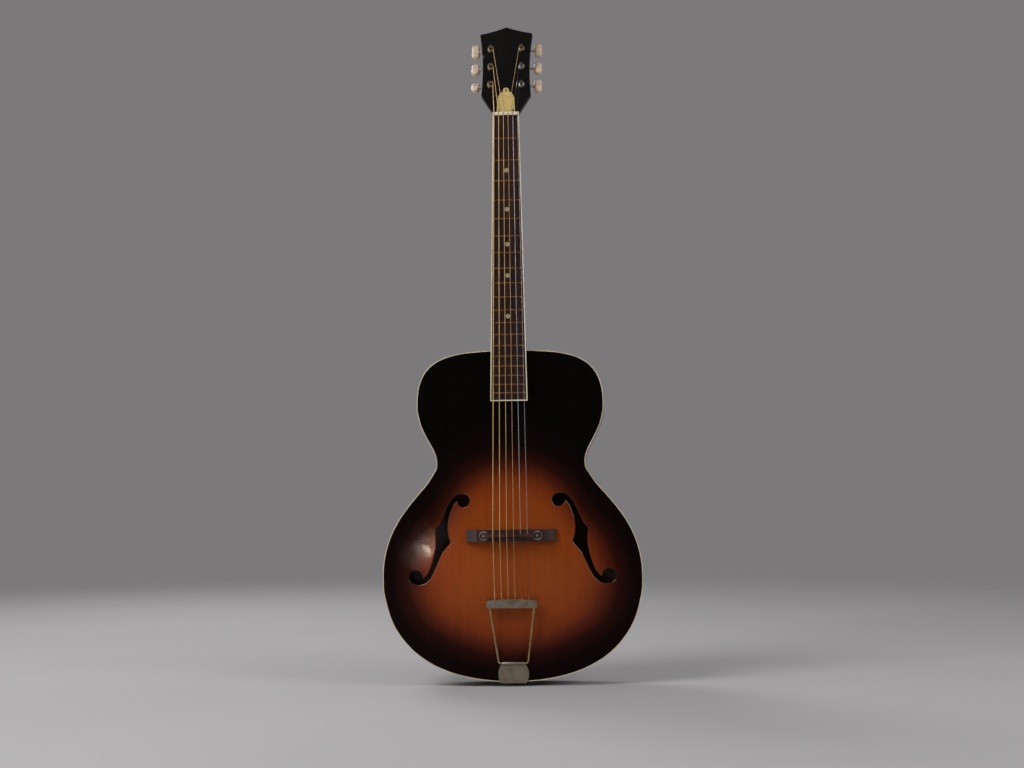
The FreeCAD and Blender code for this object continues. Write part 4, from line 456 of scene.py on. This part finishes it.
# Nickel of the posts, darker than the rest as a painted dark reflection.
post_nickel = metal("post_nickel_painted_dark", tint(128, 120, 108), tint(66, 58, 48), 0.3)
olive = metal("dull_nickel", tint(152, 142, 126), tint(126, 114, 96), 0.44, 60.0, (60.0, 900.0, 900.0))
brass = metal("gear_brass", tint(176, 140, 76), tint(112, 82, 40), 0.38)
fret_wire = metal("fret_wire", tint(156, 112, 70), tint(100, 68, 42), 0.36, 220.0)
gilt = metal("worn_wire", tint(186, 160, 118), tint(150, 124, 86), 0.36, 90.0)
steel = metal("plain_steel", tint(206, 203, 198), tint(176, 172, 166), 0.38, 40.0, (200.0, 200.0, 8.0))
cream = celluloid("binding_celluloid", tint(214, 203, 168), tint(188, 171, 126), (30, 30, 18), 0.22)
board_cream = celluloid("board_celluloid", tint(238, 229, 204), tint(214, 200, 164), (30, 30, 18), 0.22)
cover_cream = celluloid("cover_celluloid", tint(206, 182, 118), tint(176, 148, 88), (90, 90, 900), 0.2)
bone = celluloid("bone", tint(226, 217, 194), tint(200, 186, 152), (60, 300, 300), 0.28)
ivory = celluloid("button_ivory", tint(222, 200, 178), tint(196, 170, 146), (160, 160, 60), 0.2)
board_wood = rosewood("board_rosewood", tint(64, 35, 28), tint(40, 22, 18), tint(22, 13, 12), 0.42, 0.16)
bridge_wood = rosewood("bridge_rosewood", tint(76, 44, 35), tint(48, 27, 22), tint(26, 16, 14), 0.26, 0.45)
ebony = rosewood("end_pin_wood", tint(34, 28, 24), tint(22, 18, 16), tint(12, 10, 9), 0.3, 0.4)
spruce = bare_wood("bare_spruce", tint(182, 144, 98), tint(144, 106, 66))
block_wood = bare_wood("bare_block", tint(150, 104, 66), tint(112, 74, 44))

dress(lacquered_top(), "top_plate")
dress(lacquered_back(), "back_plate")
dress(lacquered_side(), "side_bass", "side_treble")
dress(lacquered_neck(), "neck")
dress(black_lacquer(), "head_veneer")
dress(cream, "top_binding", "back_binding")
dress(board_cream, "fingerboard_binding")
dress(cover_cream, "truss_rod_cover")
dress(bone, "nut")
dress(ivory, *["tuner_button_" + tag for tag in TUNERS])
dress(board_wood, "fingerboard")
dress(bridge_wood, "bridge_base", "bridge_saddle")
dress(ebony, "end_pin")
dress(pearl(), "position_dots")
dress(fret_wire, "frets")
dress(nickel, "head_screws", "tuner_strip_bass", "tuner_strip_treble", "tuner_bushings", "bridge_posts",
      "thumbwheel_bass", "thumbwheel_treble", "tailpiece_screws")
dress(post_nickel, *["tuner_post_" + tag for tag in TUNERS])
dress(brass, "truss_rod_nut", *["tuner_gear_" + tag for tag in TUNERS])
dress(steel, "truss_rod", *["tuner_worm_" + tag for tag in TUNERS])
dress(gilt, "tailpiece_frame")
dress(olive, "tailpiece_crossbar", "tailpiece_bracket")
dress(spruce, "tone_bars", "linings")
dress(block_wood, "neck_block", "end_block")

# Edges that use and polish have rounded

soften(WORN_EDGE, "bridge_base", "bridge_saddle", "head_veneer", "truss_rod_cover", "nut",
       "tailpiece_crossbar")
soften(FINE_EDGE, "tuner_strip_bass", "tuner_strip_treble", "tailpiece_bracket", "top_binding",
       "back_binding")

# Strings, in millimetres: bass to treble, each from its ball end over saddle and nut to its post

STRING_SIZES = (1.37, 1.07, 0.81, 0.61, 0.41, 0.30)
WOUND_COUNT = 4
MIDDLE_STRING = (len(STRING_SIZES) - 1) / 2
STRING_ARC = 305
NUT_SPACING = 7.30
NUT_CREST = -39.107
NUT_HEIGHT = 879.2
SADDLE_SPACING = 10.52
SADDLE_CREST = -83.77
SADDLE_HEIGHT = 224.2
TAIL_SPACING = 10.36
TAIL_DEPTH = -66.06
TAIL_HEIGHT = 123.30
BEND_TRIM = 1.4
BEND_STEPS = 8
BEND_MIDDLE = BEND_STEPS // 2
SOUNDING_STEPS = 40
AFTER_SHARE = 0.38
AFTER_STEPS = 10
ANCHOR_STEPS = 40
HEAD_STEPS = 12
TWIST_LENGTH = 15
TWIST_SWELL = 1.45
TWIST_RIPPLE = 0.16
TWIST_RATE = 3.1
WIRE_FADE = 4
POST_REACH = 3.15
WIND_FOOT = 1.5
WIND_GAP = 0.65
WIND_QUARTERS = (10, 10, 12, 12, 14, 14)
QUARTER_STEPS = 10
TUCK_STEPS = 8
TUCK_STEP = 0.28

# Wrap wire, in metres, and the length of one band of the wave texture at scale 1

WRAP_PITCH = 0.0009
WAVE_LENGTH = 0.314

# Ball ends, in millimetres: half of the drum's profile as (along, radius), and its waist

DRUM = ((1.6, 0.8), (1.6, 1.75), (1.35, 2.0), (0.9, 2.0), (0.5, 1.65))
DRUM_WAIST = 1.5


def crossing(number, spacing, crest, height):
    """Centre of a string where it crosses the rounded top of the nut or of the saddle."""
    x = (number - MIDDLE_STRING) * spacing
    return Vector((x, crest + x * x / (2 * STRING_ARC) - STRING_SIZES[number] / 2, height))


def winding_points(number, nut, joint):
    """Points of a string on its post, from where it first touches it down to its tucked end."""
    size = STRING_SIZES[number]
    radius = POST_REACH + size / 2
    pitch = size + WIND_GAP
    centre = Vector(joint["pos_m"]) / MM
    out = Vector(joint["axis"])
    across = Vector((1, 0, 0))
    up = out.cross(across)
    side = math.copysign(1, centre.x)
    ahead = (centre - nut).dot(up)
    beside = (centre - nut).dot(across)
    lean = math.asin(radius / math.hypot(ahead, beside)) + math.pi / 2
    first = math.atan2(ahead, beside) + side * lean
    steps = WIND_QUARTERS[number] * QUARTER_STEPS
    spots = []
    for step in range(steps + TUCK_STEPS + 1):
        angle = first - side * step / QUARTER_STEPS * math.pi / 2
        reach = radius - max(0, step - steps) * TUCK_STEP
        level = WIND_FOOT + size / 2 + pitch * max(0, steps - step) / QUARTER_STEPS / 4
        spots.append(centre + across * reach * math.cos(angle) + up * reach * math.sin(angle) + out * level)
    return spots


def run(start, end, count):
    """Points of a straight run, both ends included."""
    return [start.lerp(end, step / count) for step in range(count + 1)]


def turn_over(before, corner, after):
    """Points of a soft bend over a saddle or a nut."""
    first = corner + (before - corner).normalized() * BEND_TRIM
    last = corner + (after - corner).normalized() * BEND_TRIM
    spots = []
    for step in range(BEND_STEPS + 1):
        share = step / BEND_STEPS
        spots.append(first.lerp(corner, share).lerp(corner.lerp(last, share), share))
    return spots


def make_piece(name, corners, faces, smooth, material):
    """A mesh object in the scene."""
    mesh = bpy.data.meshes.new(name)
    mesh.from_pydata(corners, [], faces)
    mesh.polygons.foreach_set("use_smooth", smooth)
    mesh.materials.append(material)
    piece = bpy.data.objects.new(name, mesh)
    scene.collection.objects.link(piece)
    return piece


def tube(name, spots, radii, material, sides=12):
    """Closed round tube along points given in millimetres."""
    corners = []
    faces = []
    way = (spots[1] - spots[0]).normalized()
    across = way.orthogonal().normalized()
    for index, spot in enumerate(spots):
        near = spots[max(index - 1, 0)]
        far = spots[min(index + 1, len(spots) - 1)]
        ahead = (far - near).normalized()
        across = (across - ahead * across.dot(ahead)).normalized()
        over = ahead.cross(across)
        for side in range(sides):
            angle = 2 * math.pi * side / sides
            offset = across * math.cos(angle) + over * math.sin(angle)
            corners.append((spot + offset * radii[index]) * MM)
    for ring in range(len(spots) - 1):
        for side in range(sides):
            beside = (side + 1) % sides
            faces.append((ring * sides + side, ring * sides + beside,
                          (ring + 1) * sides + beside, (ring + 1) * sides + side))
    faces.append(tuple(reversed(range(sides))))
    faces.append(tuple(range((len(spots) - 1) * sides, len(spots) * sides)))
    return make_piece(name, corners, faces, [len(face) == 4 for face in faces], material)


def lathe(name, profiles, material, sides=28):
    """Rings turned about axes along X.

    Each profile is a centre and a closed list of (along, radius), in millimetres.
    """
    corners = []
    faces = []
    for centre, profile in profiles:
        base = len(corners)
        count = len(profile)
        for side in range(sides):
            angle = 2 * math.pi * side / sides
            for along, radius in profile:
                offset = Vector((along, radius * math.cos(angle), radius * math.sin(angle)))
                corners.append((centre + offset) * MM)
        for side in range(sides):
            beside = (side + 1) % sides
            for place in range(count):
                after = (place + 1) % count
                faces.append((base + side * count + place, base + side * count + after,
                              base + beside * count + after, base + beside * count + place))
    return make_piece(name, corners, faces, [True] * len(faces), material)


drum_profile = [(-along, radius) for along, radius in DRUM] + [(0, DRUM_WAIST)] + list(reversed(DRUM))
wound = wound_wire()
plain = plain_wire()
drums = []
for number, size in enumerate(STRING_SIZES):
    node = "wound_strings" if number < WOUND_COUNT else "plain_strings"
    finish = wound if number < WOUND_COUNT else plain
    half = size / 2
    tag = "string_" + TUNERS[number]
    tail = Vector(((number - MIDDLE_STRING) * TAIL_SPACING, TAIL_DEPTH, TAIL_HEIGHT))
    saddle = crossing(number, SADDLE_SPACING, SADDLE_CREST, SADDLE_HEIGHT)
    nut = crossing(number, NUT_SPACING, NUT_CREST, NUT_HEIGHT)
    turns = winding_points(number, nut, joints["tuner_" + TUNERS[number] + "_post"])
    touch = turns[0]
    over_saddle = turn_over(tail, saddle, nut)
    over_nut = turn_over(saddle, nut, touch)
    middle = saddle.lerp(tail, AFTER_SHARE)

    sounding = over_saddle[BEND_MIDDLE:]
    sounding += run(over_saddle[-1], over_nut[0], SOUNDING_STEPS)[1:]
    sounding += over_nut[1:BEND_MIDDLE + 1]
    piece = tube(tag + "_sounding", sounding, [half] * len(sounding), finish)
    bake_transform(piece)
    pieces = [piece]

    after = over_saddle[BEND_MIDDLE::-1] + run(over_saddle[0], middle, AFTER_STEPS)[1:]
    piece = tube(tag + "_after", after, [half] * len(after), finish)
    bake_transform(piece)
    pieces.append(piece)

    anchor = run(middle, tail, ANCHOR_STEPS)
    twist = []
    for spot in anchor:
        left = (tail - spot).length
        swell = TWIST_SWELL + TWIST_RIPPLE * math.sin(left * TWIST_RATE)
        twist.append(half * swell if left < TWIST_LENGTH else half)
    piece = tube(tag + "_anchor", anchor, twist, finish)
    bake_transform(piece)
    pieces.append(piece)

    winding = over_nut[BEND_MIDDLE:] + run(over_nut[-1], touch, HEAD_STEPS)[1:] + turns[1:]
    piece = tube(tag + "_winding", winding, [half] * len(winding), finish)
    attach(piece, "guitar")
    pieces.append(piece)
    for piece in pieces:
        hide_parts(node)

    drums.append((tail, drum_profile))
balls = lathe("string_ball_ends", drums, brass)
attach(balls, "tailpiece")
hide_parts("wound_strings", "plain_strings")

# Camera at the photograph's angle

PHOTO_WIDTH = 1024
FOCAL_PIXELS = 1750
SENSOR_WIDTH = 36

eye = Vector((168.8, -2734.2, 300.9)) * MM
right = Vector((0.998, 0.062, -0.0148))
forward = Vector((-0.0611, 0.9965, 0.0575))
up = right.cross(forward).normalized()
lens = bpy.data.cameras.new("camera")
lens.sensor_width = SENSOR_WIDTH
lens.lens = FOCAL_PIXELS / PHOTO_WIDTH * SENSOR_WIDTH
lens.clip_start = 0.05
lens.clip_end = 100
camera = bpy.data.objects.new("camera", lens)
scene.collection.objects.link(camera)
turned = Matrix((right.normalized(), up, -forward.normalized())).transposed().to_4x4()
camera.matrix_world = Matrix.Translation(eye) @ turned
scene.camera = camera

# Floor, which fades into the backdrop, and light

FLOOR_REACH = 9
FLOOR_GAP = 0.0004
FADE_START = 0.9
FADE_END = 3.6

world = bpy.data.worlds.new("studio")
world.use_nodes = True
backdrop = world.node_tree.nodes["Background"]
backdrop.inputs[0].default_value = tint(124, 121, 123)
backdrop.inputs[1].default_value = 1.0
scene.world = world

floor_level = cad_box[0][2] - FLOOR_GAP
floor_corners = [(x * FLOOR_REACH, y * FLOOR_REACH, floor_level)
                 for x, y in ((-1, -1), (1, -1), (1, 1), (-1, 1))]
floor_mesh = bpy.data.meshes.new("floor")
floor_mesh.from_pydata(floor_corners, [], [(0, 1, 2, 3)])
floor = bpy.data.objects.new("floor", floor_mesh)
scene.collection.objects.link(floor)
ground = Paint("pale_floor", roughness=0.9)
mottle = ground.noise(ground.place, 1.5, 3.0)
ground.set("Base Color", ground.ramp(mottle, [(0.3, tint(180, 177, 178)), (0.7, tint(186, 183, 184))]))
flat = ground.add("VectorMath", {0: ground.stretch(1, 1, 0)}, operation="LENGTH")
far = ground.span(flat.outputs["Value"], FADE_START, FADE_END)
clear = ground.add("BsdfTransparent")
fade = ground.add("MixShader", {0: far, 1: ground.surface.outputs[0], 2: clear.outputs[0]})
ground.tree.links.new(fade.outputs[0], ground.tree.nodes["Material Output"].inputs[0])
floor_mesh.materials.append(ground.material)


def lamp(name, place, target, width, height, power, spread=180, colour=(1, 1, 1)):
    """A rectangular lamp in metres and watts, aimed at a target."""
    data = bpy.data.lights.new(name, "AREA")
    data.shape = "RECTANGLE"
    data.size = width
    data.size_y = height
    data.energy = power
    data.spread = math.radians(spread)
    data.color = colour
    light = bpy.data.objects.new(name, data)
    light.location = place
    light.rotation_euler = (Vector(target) - Vector(place)).to_track_quat("-Z", "Y").to_euler()
    scene.collection.objects.link(light)


lamp("key", (-1.9, -1.9, 2.6), (0, 0, 0.4), 1.6, 1.6, 62)
lamp("fill", (2.3, -1.6, 1.6), (0, 0, 0.45), 1.4, 1.4, 26)
lamp("strip", (-1.11, -2.45, 0.12), (-0.128, -0.05, 0.16), 0.06, 0.22, 0.0115, 4, (1, 0.85, 0.7))
lamp("side", (-1.9, -2.0, 0.75), (0, 0, 0.5), 0.5, 1.1, 7)
lamp("rear", (-1.7, 2.5, 2.2), (0, 0, 0.4), 1.6, 1.6, 45)
